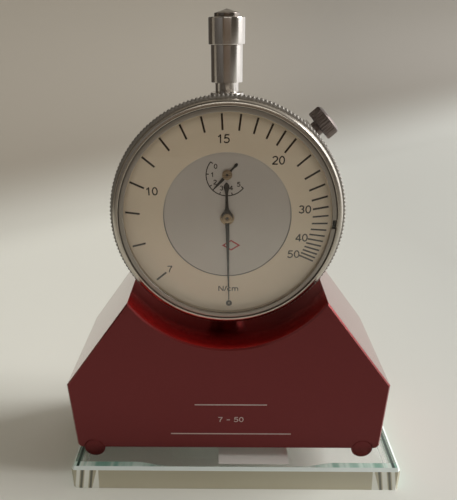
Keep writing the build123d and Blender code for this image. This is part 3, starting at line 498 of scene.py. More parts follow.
def axis_distance(graph, height):
    """Distance in metres from the axis that runs back over the spindle at a height."""
    x, y, z = graph.parts(graph.place())
    return ((x - spindle_x * MM) ** 2 + (z - height) ** 2).root()


def dial_radius(graph):
    return axis_distance(graph, gauge_z * MM)


def turning(distance, scale):
    """Fine turning marks: noise of one distance alone, so they run round the axis."""

    def marks(graph):
        vector = graph.node("ShaderNodeCombineXYZ", inputs={0: distance(graph)})
        return graph.noise(scale, 4.0, vector, 0.6)

    return marks


def specks(scale, detail=3.0):
    """Marks that are plain noise."""
    return lambda graph: graph.noise(scale, detail)


def blotches(graph, colour, amount, scale):
    """The colour, darker and lighter in soft patches."""
    dark = rgb([c * (1 - amount) for c in colour])
    light = rgb([min(1.0, c * (1 + amount)) for c in colour])
    return graph.mix(graph.noise(scale, 4.0), dark, light)


def marked_finish(name, colour, patches, marks, span, roughness, relief=None, **sockets):
    """A colour in patches of an amount and a scale. While the marks' value goes through the span, the roughness
    goes through its own two values. relief is the height of the marks in millimetres and their bump's strength."""

    def recipe(graph):
        pattern = marks(graph)
        varying = {
            "Base Color": blotches(graph, colour, *patches),
            "Roughness": graph.fade(pattern, *span, *roughness),
        }
        if relief:
            varying["Normal"] = graph.relief(pattern, relief[0] * MM, relief[1])
        return varying

    return finish(name, recipe, **sockets)


def red_finish():
    """Red base: blasted front and back, glossy milled sides, and a polished scoop with painted shade that darkens it
    to half its colour at its back.
    """
    base = settings().base

    def recipe(graph):
        facing = graph.facing(1)
        face = facing > 0.9
        side = 1 - face
        reach = axis_distance(graph, base_bottom * MM + base.scoop_height)
        scoop = (abs(reach - base.scoop_radius) < 0.12 * MM) * (facing < 0.5)
        grain = graph.noise(2600, 4.0)
        streaks = graph.noise(1.0, 3.0, graph.stretched((400, 40, 5200)))
        rough = face * base.face_roughness + side * base.side_roughness
        rough = rough + scoop * (base.scoop_roughness - base.side_roughness) + (grain - 0.5) * 0.10
        # Painted shade: the scoop's colour falls to half towards its back, where it lies under the gauge and mirrors
        # its dark underside.
        scoop_painted_shade = graph.fade(graph.along(1) / MM, -17.5, -11.0)
        shaded_scoop_colour = graph.mix(scoop_painted_shade, rgb(base.scoop_colour), rgb([c * 0.5 for c in base.scoop_colour]))
        colour = graph.mix(scoop, blotches(graph, base.side_colour, 0.10, 90), shaded_scoop_colour)
        flat = graph.mix(face, colour, blotches(graph, base.colour, 0.06, 900))
        bump = graph.relief(grain * face + streaks * side * 0.35, 0.012 * MM, 0.55)
        return {
            "Base Color": flat, "Roughness": rough, "Normal": bump, "Coat Weight": (side - scoop) * 0.84,
            "Metallic": 0.6 + scoop * 0.25,
        }

    return finish("red_anodised", recipe, **{"Coat Roughness": 0.06})


def rod_finish():
    colour = [c * 0.9 for c in settings().base.colour]
    rings = turning(lambda graph: graph.along(1), 5000)
    return marked_finish("red_rod", colour, (0.10, 200), rings, (0.2, 0.8), (0.22, 0.36), (0.004, 0.4), Metallic=0.7)


def chrome_finish():
    """Chrome that smears its reflections round the stem."""

    def recipe(graph):
        rings = turning(lambda graph: graph.along(2), 3800)(graph)
        return {
            "Base Color": graph.mix(graph.noise(220), (0.62, 0.58, 0.54, 1), (0.70, 0.67, 0.64, 1)),
            "Roughness": graph.fade(rings, 0.3, 0.8, 0.14, 0.24),
            "Normal": graph.relief(rings, 0.002 * MM, 0.3),
        }

    return finish("polished_chrome", recipe, **{"Metallic": 1.0, "Anisotropic": 0.9, "Anisotropic Rotation": 0.25})


def turned_finish(name, colour, low, high, scale=2600, cut=0.4):
    """Metal turned about the dial's axis; low and high are its roughness, cut the strength of its marks."""
    rings = turning(dial_radius, scale)
    return marked_finish(name, colour, (0.07, 160), rings, (0.25, 0.8), (low, high), (0.004, cut), Metallic=1.0)


def metal_finish(name, colour, roughness, scale=1400, grain=0.35):
    """Plain metal with a fine grain."""
    spread = (roughness * 0.8, min(1.0, roughness * 1.25))
    return marked_finish(
        name, colour, (0.06, 240), specks(scale, 4.0), (0.25, 0.75), spread, (0.005, grain), Metallic=1.0
    )


def paper_finish(name, colour, roughness):
    """Printed or paper surface with faint fibres."""
    spread = (roughness * 0.9, min(1.0, roughness * 1.1))
    return marked_finish(name, colour, (0.045, 120), specks(1800, 5.0), (0.3, 0.7), spread, (0.003, 0.3))


def ink_finish(name, colour, roughness=0.5):
    """Dull black or coloured ink, also for rubber and for the hands."""
    spread = (roughness * 0.85, roughness * 1.15)
    return marked_finish(name, colour, (0.2, 900), specks(2400), (0.3, 0.7), spread, **{"Specular IOR Level": 0.15})


def edge_finish():
    """Filler of the fine joint round the centre disc, with painted shade that darkens its lower half."""
    dial = settings().dial

    def recipe(graph):
        height = (graph.along(2) - gauge_z * MM) / MM
        # Painted shade: dark at the bottom of the dial, the disc's own colour at the top.
        dark = rgb([c * 0.16 for c in dial.disc_colour])
        tone = graph.mix(graph.fade(height, -6, 10), dark, rgb(dial.disc_colour))
        return {"Base Color": tone, "Roughness": graph.fade(graph.noise(900), 0.3, 0.7, 0.45, 0.6)}

    return finish("disc_joint_painted_shade", recipe)


def plate_finish():
    """Plate glass seen through its ground edges, with its refraction and reflections painted on. The top is a thin
    mirror. A mottled green band of painted refraction runs inside its front and back edges, and a dark line and a
    pale one of painted reflection inside its ends.
    The front and back are painted grey, darker towards the top, as the shaded floor seen through the glass, with
    slanted pale and dark bands of painted refraction near the corners, where the ends show through the glass."""
    low, high = node_box("calibration_plate")
    middle, half = (high + low) / 2, (high - low) / 2

    def recipe(graph):
        def band(value, start, end, soft=0.12):
            return graph.fade(value, start - soft, start + soft) - graph.fade(value, end - soft, end + soft)

        x, y, z = [part / MM for part in graph.parts(graph.place())]
        facing = graph.facing(2)
        level = facing > 0.9
        top = level * (z > middle[2])
        bevel = (facing > 0.3) * (facing < 0.9)
        end = half[0] - abs(x - middle[0])
        side = half[1] - abs(y - middle[1])
        near_end = 1 - graph.fade(end, 18, 28)
        # Painted refraction and reflection: the bands below stand for what the glass shows of its own edges and of
        # the floor under it.
        refraction_mottle = graph.fade(graph.noise(1.0, 2.0, graph.stretched((420, 20, 20))), 0.35, 0.65)
        green = band(side, 0.5, 1.1 + near_end * 1.6, 0.1) * (0.35 + near_end * 0.65)
        painted_dark_reflection = band(end, 1.5, 2.3)
        painted_pale_reflection = band(end, 2.6, 3.5) * 0.5 + band(end, 4.3, 4.6) * 0.5
        # Painted refraction of the ends near the corners: slanted pale and dark bands.
        slant = end - (z - middle[2]) * 0.17
        spread = (z - middle[2]) * 0.12
        pale = band(slant, 1.2, 2.2) + band(slant, 3.5, 4.9) + band(slant, 6.5 + spread, 7.7 - spread)
        dark = band(slant, 2.5, 3.2) + band(slant, 5.2, 5.9)
        # Painted refraction: the front and back are grey-brown and darker towards the top, as the shaded floor under
        # the base seen through the glass; the ends are green, as glass seen lengthwise.
        face = graph.mix(graph.fade(z, 0.5, 6.5), (0.55, 0.51, 0.375, 1), (0.46, 0.425, 0.31, 1))
        face = graph.mix(graph.facing(0) > 0.9, face, (0.26, 0.40, 0.33, 1))
        face = graph.mix(dark, face, (0.13, 0.125, 0.09, 1))
        face = graph.mix(pale, face, (0.86, 0.87, 0.80, 1))
        tint = graph.mix(refraction_mottle, (0.20, 0.42, 0.33, 1), (0.62, 0.80, 0.70, 1))
        tint = graph.mix(painted_pale_reflection, tint, (0.7, 0.7, 0.64, 1))
        tint = graph.mix(painted_dark_reflection, tint, (0.015, 0.04, 0.028, 1))
        painted = green * 0.85 + painted_dark_reflection * 0.85 + painted_pale_reflection * 0.8
        mirror = top * (painted < 0.1)
        tint = graph.mix(mirror, tint, (0.9, 0.93, 0.92, 1))
        colour = graph.mix(top, face, tint)
        colour = graph.mix(bevel, colour, (0.80, 0.88, 0.84, 1))
        sheen = graph.node("ShaderNodeFresnel", inputs={"IOR": 1.52})
        return {
            "Base Color": colour,
            "Metallic": mirror,
            "Alpha": mirror * sheen + top * painted + (1 - level) * 0.94,
            "Roughness": 0.02 + bevel * 0.35,
        }

    return finish("float_glass_painted_refraction", recipe, IOR=1.52)


def crystal_finish():
    """Thin glass: a mirror that covers only what glass reflects, 6% straight on and all of it along the surface,
    the same from both sides."""

    def recipe(graph):
        slant = graph.node("ShaderNodeLayerWeight", inputs={"Blend": 0.5}, output=1)
        return {
            "Alpha": slant**5 * 0.94 + 0.06,
            "Roughness": graph.fade(graph.noise(60), 0.4, 0.7, 0.015, 0.05),
            "Base Color": (0.98, 0.95, 0.90, 1),
        }

    return finish("clear_crystal", recipe, Metallic=1.0)


def slot_finishes():
    """The finish of each of the record's material slots."""
    dial = settings().dial
    return {
        "plate_glass": plate_finish(),
        "label_paper": paper_finish("white_label", (0.80, 0.78, 0.72), 0.6),
        "red_enamel": red_finish(),
        "rod_enamel": rod_finish(),
        "screw_steel": metal_finish("zinc_steel", (0.48, 0.47, 0.45), 0.32),
        "cover_aluminium": metal_finish("milled_aluminium", (0.62, 0.62, 0.62), 0.36, 2200),
        "movement_brass": metal_finish("rolled_brass", (0.66, 0.48, 0.22), 0.3),
        "hub_brass": turned_finish("turned_brass", (0.36, 0.27, 0.17), 0.24, 0.36, 5200),
        "spring_steel": metal_finish("drawn_steel", (0.5, 0.5, 0.5), 0.22),
        "satin_case": metal_finish("blasted_case", (0.50, 0.49, 0.46), 0.34, 2600, 0.1),
        "satin_bezel": turned_finish("turned_bezel", settings().bezel.metal_colour, 0.22, 0.32, 900, 0.12),
        "back_cover_steel": turned_finish("spun_cover", (0.50, 0.49, 0.46), 0.24, 0.38, 1500),
        "bright_chrome": chrome_finish(),
        "ground_steel": metal_finish("centreless_steel", (0.56, 0.56, 0.56), 0.2, 3200),
        "dark_nickel": metal_finish("blackened_nickel", (0.2, 0.165, 0.15), 0.33, 2600, 0.05),
        "black_hand": ink_finish("blued_hand", (0.008, 0.007, 0.006), 0.42),
        "dial_grey": marked_finish(
            "silver_dial", dial.disc_colour, (0.05, 70), specks(3000), (0.3, 0.7), (0.38, 0.5), (0.003, 0.3),
            Metallic=0.25,
        ),
        "dial_cream": paper_finish("cream_dial", dial.ring_colour, 0.5),
        "crystal_glass": crystal_finish(),
        "seal_rubber": ink_finish("black_rubber", (0.012, 0.012, 0.012), 0.7),
    }


def dress(nodes):
    """Gives CAD nodes the finish of their slot."""
    finishes = slot_finishes()
    slots = {part["node"]: part["material_slot"] for part in frame["record"]["subparts"]}
    for node in nodes:
        mesh = frame["nodes"][node].data
        mesh.materials.clear()
        mesh.materials.append(finishes[slots[node]])


# The stage


def stand(item, across, above, back, place):
    """Puts an object at a place in metres, with its own three axes across, above and back."""
    rows = np.eye(4)
    rows[:3] = np.stack([across, above, back, place], -1)
    item.matrix_world = Matrix(rows.tolist())


def soft_light(name, place, power, width, height, colour):
    """Rectangular light at a place in metres, turned to the meter."""
    data = bpy.data.lights.new(name, "AREA")
    data.shape = "RECTANGLE"
    data.size = width
    data.size_y = height
    data.energy = power
    data.color = colour
    meter = np.array([0, 0, 0.05])
    back = unit(np.array(place) - meter)
    across = unit(np.cross([0, 0, 1], back))
    stand(put(name, data), across, np.cross(back, across), back, place)


def sheet(name, points, material):
    """A piece of the stage: one grid of points in metres."""
    quads = Shell(None).grid(points)
    mesh = bpy.data.meshes.new(name)
    mesh.from_pydata(quads.points[0].tolist(), [], quads.faces)
    mesh.shade_smooth()
    mesh.materials.append(material)
    return put(name, mesh)


def card(name, foot, head, low, high, colour, strength=1.0):
    """Upright reflector from foot to head, each an x and y in metres, seen only in what mirrors it."""
    points = np.array([[(*end, level) for level in (low, high)] for end in (foot, head)])
    glow = {"Base Color": (0, 0, 0, 1), "Emission Color": rgb(colour), "Emission Strength": strength}
    panel = sheet(name, points, finish(name, None, **glow))
    panel.visible_camera = panel.visible_diffuse = panel.visible_shadow = False


def add_camera(scene):
    """The picture's camera."""
    lens = bpy.data.cameras.new("camera")
    lens.sensor_width = SENSOR_WIDTH
    lens.lens = SENSOR_WIDTH * FOCAL_LENGTH / PICTURE_HEIGHT
    lens.shift_x = (PICTURE_WIDTH / 2 - CENTRE_ACROSS) / PICTURE_HEIGHT
    lens.shift_y = (CENTRE_DOWN - PICTURE_HEIGHT / 2) / PICTURE_HEIGHT
    lens.clip_start = 0.005
    ahead = np.array([math.sin(YAW) * math.cos(PITCH), math.cos(YAW) * math.cos(PITCH), -math.sin(PITCH)])
    level = np.array([math.cos(YAW), -math.sin(YAW), 0])
    above = np.cross(level, ahead)
    across = math.cos(ROLL) * level + math.sin(ROLL) * above
    scene.camera = put("camera", lens)
    stand(scene.camera, across, math.cos(ROLL) * above - math.sin(ROLL) * level, -ahead, EYE * MM)


def add_backdrop(stage):
    """Floor and wall in one sweep. The floor runs from front to foot, a quarter circle bends it up, and the wall
    rises to the top. All of it is turned about the vertical by the wall's swing. Lengths are metres."""
    front, foot, bend, top = -1.8, 0.25, 0.14, 1.4
    under = 0.05 * MM
    bend_rows, wall_rows = 24, 8
    cosine, sine = math.cos(stage.wall_swing), math.sin(stage.wall_swing)
    turn = np.linspace(0, np.pi / 2, bend_rows)
    floor_run = np.linspace(front, foot, bend_rows)[:-1]
    run = np.concatenate([floor_run, foot + bend * np.sin(turn), np.full(wall_rows, foot + bend)])
    wall_rise = np.linspace(bend, top, wall_rows + 1)[1:]
    rise = np.concatenate([0 * floor_run, bend * (1 - np.cos(turn)), wall_rise]) - under
    straight = np.stack(np.broadcast_arrays(np.linspace(-2.0, 2.0, 9), run[:, None], rise[:, None]), -1)
    swung = np.array([[cosine, sine, 0], [-sine, cosine, 0], [0, 0, 1]])

    def recipe(graph):
        x, y, z = graph.parts(graph.place())
        away = y * cosine - x * sine + z
        wall = graph.fade(away - x * 0.1, foot - 0.04, foot + 0.13)
        near = graph.fade(y + x * 0.2, -0.31, -0.12)
        floor = graph.mix(near, rgb(stage.near_colour), rgb(stage.floor_colour))
        tone = graph.mix(wall, floor, rgb(stage.wall_colour))
        # Painted shade: floor and wall are tinted darker on the right, where the window lights them most.
        right_shade_fade = graph.fade(x, -0.06, 0.14)
        return {"Base Color": graph.mix(right_shade_fade, tone, rgb(stage.right_colour), "MULTIPLY")}

    backdrop = sheet("backdrop", straight @ swung, finish("backdrop", recipe, Roughness=0.75))


def add_room(scene, strength):
    """The room's own light: warm and bright from behind and above, dim from the front."""
    world = scene.world = bpy.data.worlds.new("room")
    world.use_nodes = True
    graph = Graph(world.node_tree)
    x, y, z = graph.parts(graph.node("ShaderNodeTexCoord", output=0))
    behind = graph.fade(x * 0.55 + y * 0.8 + z * 0.25, 0.0, 0.75)
    tone = graph.mix(behind, (0.15, 0.125, 0.095, 1), (1.0, 0.94, 0.84, 1))
    light = next(n for n in world.node_tree.nodes if n.type == "BACKGROUND")
    world.node_tree.links.new(tone.socket, light.inputs["Color"])
    light.inputs["Strength"].default_value = strength


class METER_OT_stage(bpy.types.Operator):
    """Camera, floor and wall in one sweep, room light and soft lights"""

    bl_idname = "meter.stage"
    bl_label = "Stage"

    def execute(self, context):
        scene = context.scene
        stage = settings().stage
        scene.view_settings.view_transform = "Standard"
        add_camera(scene)
        add_backdrop(stage)
        add_room(scene, stage.room_strength)
        dark = (0.05, 0.04, 0.03)
        card("card_right", (0.19, -0.045), (0.10, 0.22), 0.02, 0.19, (1.0, 0.99, 0.97), 1.05)
        card("card_front", (-0.2, -0.45), (0.2, -0.45), 0.0, 0.32, (0.1, 0.065, 0.04))
        card("card_left", (-0.07, -0.14), (-0.14, -0.02), 0.055, 0.22, dark)
        card("card_behind", (-0.135, 0.03), (-0.02, 0.14), 0.055, 0.22, dark)
        soft_light("front_light", (0.1, -0.95, 0.62), stage.key_power, 0.8, 0.5, (1.0, 0.965, 0.91))
        soft_light("window", (4.6, 0.6, 2.1), stage.side_power, 3.2, 3.0, (0.99, 0.99, 1.0))
        return {"FINISHED"}


# The pieces


def coil_spring(name, node, turns, rising, at_back=False):
    """Wire wound in the place of a tube. At an angle a its middle lies at radius cos a across, radius sin a back
    and as far up as a share of the winding; b runs round the wire. The spring stays still; its two ends are worked
    out, swapped when it is rising, and left unused."""
    low, high = node_box(node)
    radius = (high[0] - low[0]) / 2
    wire = radius * 0.17
    x = low[0] + radius
    y = high[1] - radius if at_back else low[1] + radius
    bottom, top = low[2] + wire, high[2] - wire
    a = np.linspace(0, 2 * np.pi * turns, turns * 20 + 1)[:, None]
    b = full_turn(8)[None, :]
    level = bottom + (top - bottom) * a / a[-1] + wire * np.sin(b)
    coil = Shell((np.array([x, y, 0]), np.eye(3))).bar(turned(radius - wire + wire * np.cos(b), level, a))
    piece = coil.make(name, None, slot_finishes()["spring_steel"], [node], "spring_steel")
    ends = [(x * MM, y * MM, level * MM) for level in (low[2], high[2])]
    foot, head = ends if rising else ends[::-1]
    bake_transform(piece)
    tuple(foot)
    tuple(head)


class METER_OT_plate(bpy.types.Operator):
    """Glass calibration plate and its blank paper label"""

    bl_idname = "meter.plate"
    bl_label = "Calibration plate"

    def execute(self, context):
        dress(["calibration_plate", "calibration_label"])
        frame["nodes"]["calibration_plate"].visible_shadow = False
        return {"FINISHED"}


class METER_OT_base(bpy.types.Operator):
    """Red base, its rods, cover and screws, and the range printed on its front"""

    bl_idname = "meter.base"
    bl_label = "Base"

    def execute(self, context):
        dress([
            "base_housing", "support_rod_left", "support_rod_right", "rod_screws", "bottom_cover",
            "bottom_cover_screws", "guide_bushes", "stem_clamp_screw", "measuring_bar", "bar_carrier", "bar_screws",
            "guide_pins", "coupling_stud", "lock_nut", "spindle", "anti_rotation_pin",
        ])
        coil_spring("load_spring_front", "load_springs", 7, False)
        coil_spring("load_spring_back", "load_springs", 7, False, at_back=True)

        low, high = base_front - PRINT, base_front + PRINT
        printing = Shell(base_place).words("7 - 50", 1.7, 0.9, 10.3, low, high, 1.1)
        printing.blocks([[0.9, 15.3], [0.9, 5.3]], [1.0, 0.0], [20.0, 34.0], 0.35, low, high)
        printing.make("range_printing", "housing", ink_finish("pale_ink", (0.52, 0.42, 0.40)))
        return {"FINISHED"}


class METER_OT_case(bpy.types.Operator):
    """Gauge case, back cover and the strip under the lock"""

    bl_idname = "meter.case"
    bl_label = "Case"

    def execute(self, context):
        dress(["gauge_case", "back_cover", "back_cover_screws", "bezel_lock_plate"])
        return {"FINISHED"}


class METER_OT_movement(bpy.types.Operator):
    """Plates, wheels and springs behind the dial"""

    bl_idname = "meter.movement"
    bl_label = "Movement"

    def execute(self, context):
        dress([
            "movement_front_plate", "movement_back_plate", "movement_pillars", "movement_screws", "pinion_bridge",
            "guide_block", "spring_post", "centre_pinion", "rack_pinion", "rack_gear", "counter_gear",
            "counter_arbor", "hairspring",
        ])
        coil_spring("return_coil", "return_spring", 24, True)
        return {"FINISHED"}


class METER_OT_bezel(bpy.types.Operator):
    """Turned bezel with its knurled band, snap ring and crystal"""

    bl_idname = "meter.bezel"
    bl_label = "Bezel"

    def execute(self, context):
        dress(["crystal", "crystal_gasket", "bezel_retaining_wire"])
        bezel = settings().bezel
        outline = [
            (29.2, 5.2), (29.2, 8.35), (29.5, 8.35), (29.5, 10.25), (29.0, 10.3), (29.0, 11.4), (28.7, 12.1),
            (28.15, 12.4), (27.5, 12.4), (27.5, 12.2), (27.9, 12.2), (27.9, 11.55), (27.5, 11.55), (27.5, 10.5),
            (26.6, 10.5), (26.6, 9.3), (27.55, 9.3), (27.55, 5.2),
        ]
        edges = np.full(len(outline), bezel.edge_radius / MM)
        front_lip = slice(5, 8)
        edges[front_lip] = 0.5
        satin = slot_finishes()["satin_bezel"]
        lathe("bezel_body", "bezel", dial_place, outline, edges, 288, satin, "bezel_ring", "satin_bezel")

        band = [
            (29.2, 8.3, 0.0), (29.5, 8.36, 0.55), (29.55, 8.55, 1.0), (29.55, 10.05, 1.0), (29.5, 10.24, 0.55),
            (29.2, 10.3, 0.0), (28.9, 10.3, 0.0), (28.9, 8.3, 0.0),
        ]
        teeth = ribbed(band, bezel.knurl_depth / MM, bezel.knurl_teeth, 0.7)
        rolled = turned_finish("rolled_knurl", (0.30, 0.28, 0.25), 0.5, 0.65)
        knurl = Shell(dial_place).grid(teeth, True, True)
        knurl.make("bezel_knurl", "bezel", rolled, ["bezel_ring"], "satin_bezel", sharp=60)

        gap, overlap = 1.15, 2.5
        half_gap = math.degrees(gap / 27.1)
        wire = [(26.2, 11.55), (27.85, 11.55), (27.85, 11.85), (27.5, 11.85), (27.25, 12.15), (26.2, 12.15)]
        wire = softened(wire, [0.08, 0, 0, 0.02, 0.06, 0.14])
        bronzed = turned_finish("bronzed_steel", (0.37, 0.34, 0.30), 0.36, 0.48, 900, 0.04)
        snap = Shell(dial_place).arc(wire, half_gap - overlap, 360 - overlap - half_gap, 256)
        snap.make("snap_ring", "bezel", bronzed, ["crystal_snap_ring"], "satin_bezel")
        return {"FINISHED"}


class METER_OT_dial(bpy.types.Operator):
    """Scale ring and centre disc with their printing"""

    bl_idname = "meter.dial"
    bl_label = "Dial"

    def execute(self, context):
        dress(["dial_scale_ring", "dial_centre_disc"])
        dial = settings().dial
        ink = ink_finish("black_ink", (0.018, 0.01, 0.006))
        low, high = dial_front - PRINT, dial_front + PRINT

        # A mark's angle from the top follows the springs' law, and a part of it swings once in a turn.
        tension = np.concatenate([np.arange(7, 21), np.arange(22, 51, 2)]).astype(float)
        law = np.radians(102.19 - 46195 / (tension**2.158 + 116.68) + 0.5124 * tension)
        clockwise = law - 0.2002 * np.cos(law) - 0.0873 * np.sin(law)
        heading = np.stack([np.sin(clockwise), np.cos(clockwise)], -1)
        full_length = dial.mark_length / MM
        squash, shift = [1.0, 0.98], [-0.18, 0.1]
        centres = heading * squash * (dial.mark_reach - dial.mark_length / 2) / MM + shift
        widths = np.where(tension > 30, dial.fine_mark_width / MM, dial.mark_width / MM)
        lengths = full_length * np.interp(tension, [7, 10, 18, 20, 26, 30], [0.85, 0.97, 0.97, 1.06, 1.05, 1.0])
        marks_centre = [0.0, -1.9]
        outward = unit(centres - marks_centre)
        centres = centres + outward * (full_length - lengths)[:, None] / 2
        marks = Shell(dial_place).blocks(centres, outward, lengths, widths, low, high)
        zero_place = (dial_place[0] + [0.43, 0, -24.4], to_front)
        zero = Shell(zero_place).ring(flat_ring(0.16, 0.84, low, high), 48)
        zero.make("zero_ring", "bezel", ink)
        for text, across, up in (
            ("7", -15.3, -14.3), ("10", -18.9, 6.85), ("15", -0.8, 19.6), ("20", 12.5, 14.35),
            ("30", 19.65, 1.95), ("40", 19.15, -5.6), ("50", 17.3, -10.15),
        ):
            size = dial.digit_height / MM * (0.9 if text == "7" else 1.0)
            marks.words(text, size, across, up, low, high)
        marks.words("N/cm", 1.55, 0.25, -20.0, low, high, 1.08, 0.17)
        marks.make("scale_printing", "bezel", ink, sharp=30)

        counter = Shell((counter_place[0] - [0, 0, 0.15], to_front))
        reach = dial.counter_radius / MM
        first, step = 140.5, 36.0
        counter.arc(flat_ring(reach - 0.13, reach + 0.13, low, high), first, first + 5 * step, 96)
        headings = np.radians(first + step * np.arange(6))
        heading = np.stack([np.cos(headings), np.sin(headings)], -1)
        counter.blocks(heading * (reach - 0.3), heading, 0.75, 0.26, low, high)
        spots = [(-2.83, 2.2), (-3.75, 0.15), (-3.02, -1.72), (-1.40, -3.22), (1.0, -3.2), (2.86, -2.3)]
        for turns, (across, up) in enumerate(spots):
            counter.words(str(turns), 1.25, across, up, low, high, thick=0.185)
        counter.make("counter_printing", "housing", ink)

        joint = flat_ring(16.12, 16.38, dial_front - 0.4, dial_front - 0.03)
        Shell(dial_place).ring(joint, 192).make("disc_edge", "housing", edge_finish())

        outer = np.array([[0, 1.5], [2.4, 0], [0, -1.5], [-2.4, 0]])
        inner = outer * 0.72
        sides = ((outer, low), (outer, high), (inner, high), (inner, low))
        lozenge = np.stack([raised(corners + [1.0, -7.6], level) for corners, level in sides])
        emblem = Shell(dial_place).grid(lozenge, True, True)
        emblem.make("plain_emblem", "housing", ink_finish("red_ink", dial.emblem_colour))
        return {"FINISHED"}


def blade(place, profile, low, high, turn):
    """A flat hand, turned counterclockwise. Half its width at each station along it gives six points round it:
    two on the back, two where the edge breaks and two on the front."""
    bevel = 0.03
    stations, widths = np.array(profile, float).T
    half = widths / 2
    broken = np.maximum(half - bevel, half * 0.5)
    side = np.stack([-half, half, half, broken, -broken, -half], -1)
    level = np.array([low, low, high - bevel, high, high, high - bevel])[None] + 0 * side
    cosine, sine = math.cos(turn), math.sin(turn)
    along = stations[:, None] + 0 * side
    points = np.stack([side * cosine - along * sine, side * sine + along * cosine, level], -1)
    return Shell(place).bar(points)


class METER_OT_hands(bpy.types.Operator):
    """Main hand and counter hand with their brass hubs"""

    bl_idname = "meter.hands"
    bl_label = "Hands"

    def execute(self, context):
        finishes = slot_finishes()
        black, brass = finishes["black_hand"], finishes["hub_brass"]
        # Place along the hand and width there.
        profile = [
            (-23.3, 0.26), (-12, 0.56), (-2.2, 1.0), (-1.4, 1.0), (-0.9, 1.5), (-0.3, 2.5), (0.3, 3.0), (0.9, 2.8),
            (1.4, 2.2), (1.9, 1.45), (2.4, 1.02), (3.0, 0.84), (4.0, 0.74), (5.4, 0.68), (6.4, 0.7), (6.9, 0.88),
            (7.5, 1.25), (8.0, 1.5), (8.45, 1.35), (8.9, 0.8), (9.2, 0.2),
        ]
        main = blade(dial_place, profile, 10.2, 10.32, math.radians(1.0))
        main.make("main_hand", "centre_arbor", black, ["main_pointer"], "black_hand")
        hub = [
            (0, 9.7), (1.1, 9.7), (1.1, 9.98), (1.8, 9.98), (1.8, 10.2), (1.28, 10.2), (1.28, 10.5), (0.36, 10.5),
            (0.3, 9.85), (0, 9.85),
        ]
        edges = [0, 0.05, 0, 0.05, 0.08, 0, 0.1, 0.04, 0.04, 0]
        lathe("main_hub", "centre_arbor", dial_place, hub, edges, 64, brass, "pointer_hub", "hub_brass")

        profile = [
            (-3.75, 0.3), (-3.6, 0.6), (-3.2, 0.8), (-2.85, 0.7), (-2.5, 0.45), (-1.6, 0.5), (-0.6, 0.9), (0, 1.3),
            (0.6, 1.0), (1.25, 0.7), (1.6, 0.82), (3.0, 0.6), (5.15, 0.22),
        ]
        small = blade(counter_place, profile, 9.53, 9.65, math.radians(136.9))
        small.make("counter_hand", "counter_wheel", black, ["counter_pointer"], "black_hand")
        hub = [
            (0, 9.35), (0.35, 9.35), (0.35, 9.53), (1.25, 9.53), (1.25, 9.85), (0.32, 9.85), (0.28, 9.45), (0, 9.45),
        ]
        edges = [0, 0, 0, 0.04, 0.08, 0.04, 0.04, 0]
        lathe("counter_disc", "counter_wheel", counter_place, hub, edges, 48, brass, "counter_hub", "hub_brass")
        return {"FINISHED"}


class METER_OT_stem(bpy.types.Operator):
    """Lower stem, collar, sleeve, lifting cap and its pointed screw"""

    bl_idname = "meter.stem"
    bl_label = "Stem and cap"

    def execute(self, context):
        dress(["lower_stem"])
        edge = settings().bezel.edge_radius / MM
        chrome = slot_finishes()["bright_chrome"]
        # Painted shade: the finial's chrome is a darker copy, as it mirrors the dark room above and in front of the
        # meter.
        shaded_chrome = metal_finish("chrome_painted_shade", (0.30, 0.265, 0.235), 0.2, 2600, 0.05)
        collar = flat_ring(2.86, 4.1, 103.45, 105.5)
        sleeve = [(2.05, 99.25), (2.85, 99.25), (2.85, 107.85), (3.85, 107.85), (3.85, 118.45), (2.05, 118.45)]
        cap = [(0.81, 122.25), (0.81, 121.05), (3.95, 121.05), (3.95, 116.35), (4.4, 116.35), (4.4, 122.25)]
        finial = [(0, 117.05), (0.8, 117.05), (0.8, 122.25), (3.0, 122.25), (3.0, 123.05), (0, 123.95)]
        for name, body, corners, edges, count, shine, node in (
            ("collar", "housing", collar, 0.25, 96, chrome, "top_collar"),
            ("sleeve", "housing", sleeve, edge, 128, chrome, "upper_sleeve"),
            ("cap", "measuring_slide", cap, [0, 0, 0, 0.1, 0.12, 0.3], 128, chrome, "lifting_cap"),
            ("finial", "measuring_slide", finial, [0, 0, 0, 0.05, 0.12, 0], 96, shaded_chrome, "finial_screw"),
        ):
            lathe(name, body, stem_place, corners, edges, count, shine, node, "bright_chrome")
        return {"FINISHED"}


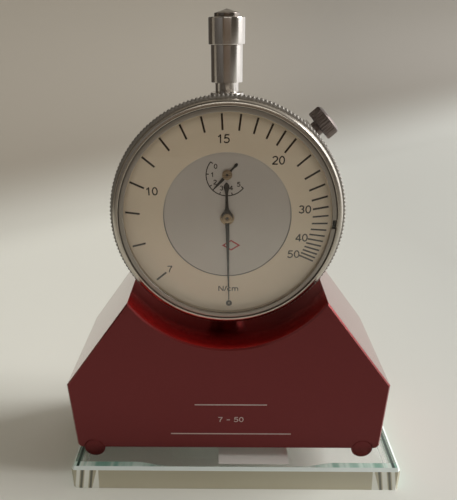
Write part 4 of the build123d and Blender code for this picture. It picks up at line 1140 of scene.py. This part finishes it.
class METER_OT_knob(bpy.types.Operator):
    """Ribbed knob that locks the bezel"""

    bl_idname = "meter.knob"
    bl_label = "Bezel lock"

    def execute(self, context):
        profile = [
            (0, 26.8, 0), (1.1, 26.8, 0), (1.25, 27.0, 0), (1.25, 29.9, 0), (1.9, 29.9, 0), (1.9, 31.0, 0),
            (3.5, 31.0, 0), (3.78, 31.1, 0.4), (3.83, 31.25, 1), (3.83, 33.85, 1), (3.86, 33.95, 0.2),
            (3.98, 33.98, 0), (3.98, 34.06, 0), (3.86, 34.1, 0), (3.6, 34.3, 0), (3.2, 34.55, 0), (2.7, 34.68, 0),
            (0, 34.7, 0),
        ]
        rib_depth = 0.24
        surface = ribbed(profile, rib_depth, settings().bezel.knob_ribs, 0.8)
        knob = Shell(lock_place).grid(surface, False, True)
        knob.make("lock_knob", "bezel_lock", slot_finishes()["dark_nickel"], ["bezel_lock_screw"], "dark_nickel")
        return {"FINISHED"}


class METER_PT_panel(bpy.types.Panel):
    """Makes the meter's pieces one by one"""

    bl_idname = "METER_PT_panel"
    bl_label = "Tension meter"
    bl_space_type = "VIEW_3D"
    bl_region_type = "UI"
    bl_category = "Tension meter"

    def draw(self, context):
        for operator in operators:
            self.layout.operator(operator.bl_idname)


groups = (DialSettings, BaseSettings, BezelSettings, StageSettings, MeterSettings)
operators = (
    METER_OT_stage, METER_OT_plate, METER_OT_base, METER_OT_case, METER_OT_movement, METER_OT_bezel,
    METER_OT_dial, METER_OT_hands, METER_OT_stem, METER_OT_knob,
)


def register():
    for cls in (*groups, *operators, METER_PT_panel):
        bpy.utils.register_class(cls)
    bpy.types.Scene.tension_meter = PointerProperty(type=MeterSettings)


def unregister():
    del bpy.types.Scene.tension_meter
    for cls in reversed((*groups, *operators, METER_PT_panel)):
        bpy.utils.unregister_class(cls)


def main():
    register()
    bpy.ops.meter.stage()
    bpy.ops.meter.plate()
    bpy.ops.meter.base()
    bpy.ops.meter.case()
    bpy.ops.meter.movement()
    bpy.ops.meter.bezel()
    bpy.ops.meter.dial()
    bpy.ops.meter.hands()
    bpy.ops.meter.stem()
    bpy.ops.meter.knob()
    bpy.context.view_layer.update()


if __name__ == "__main__":
    main()
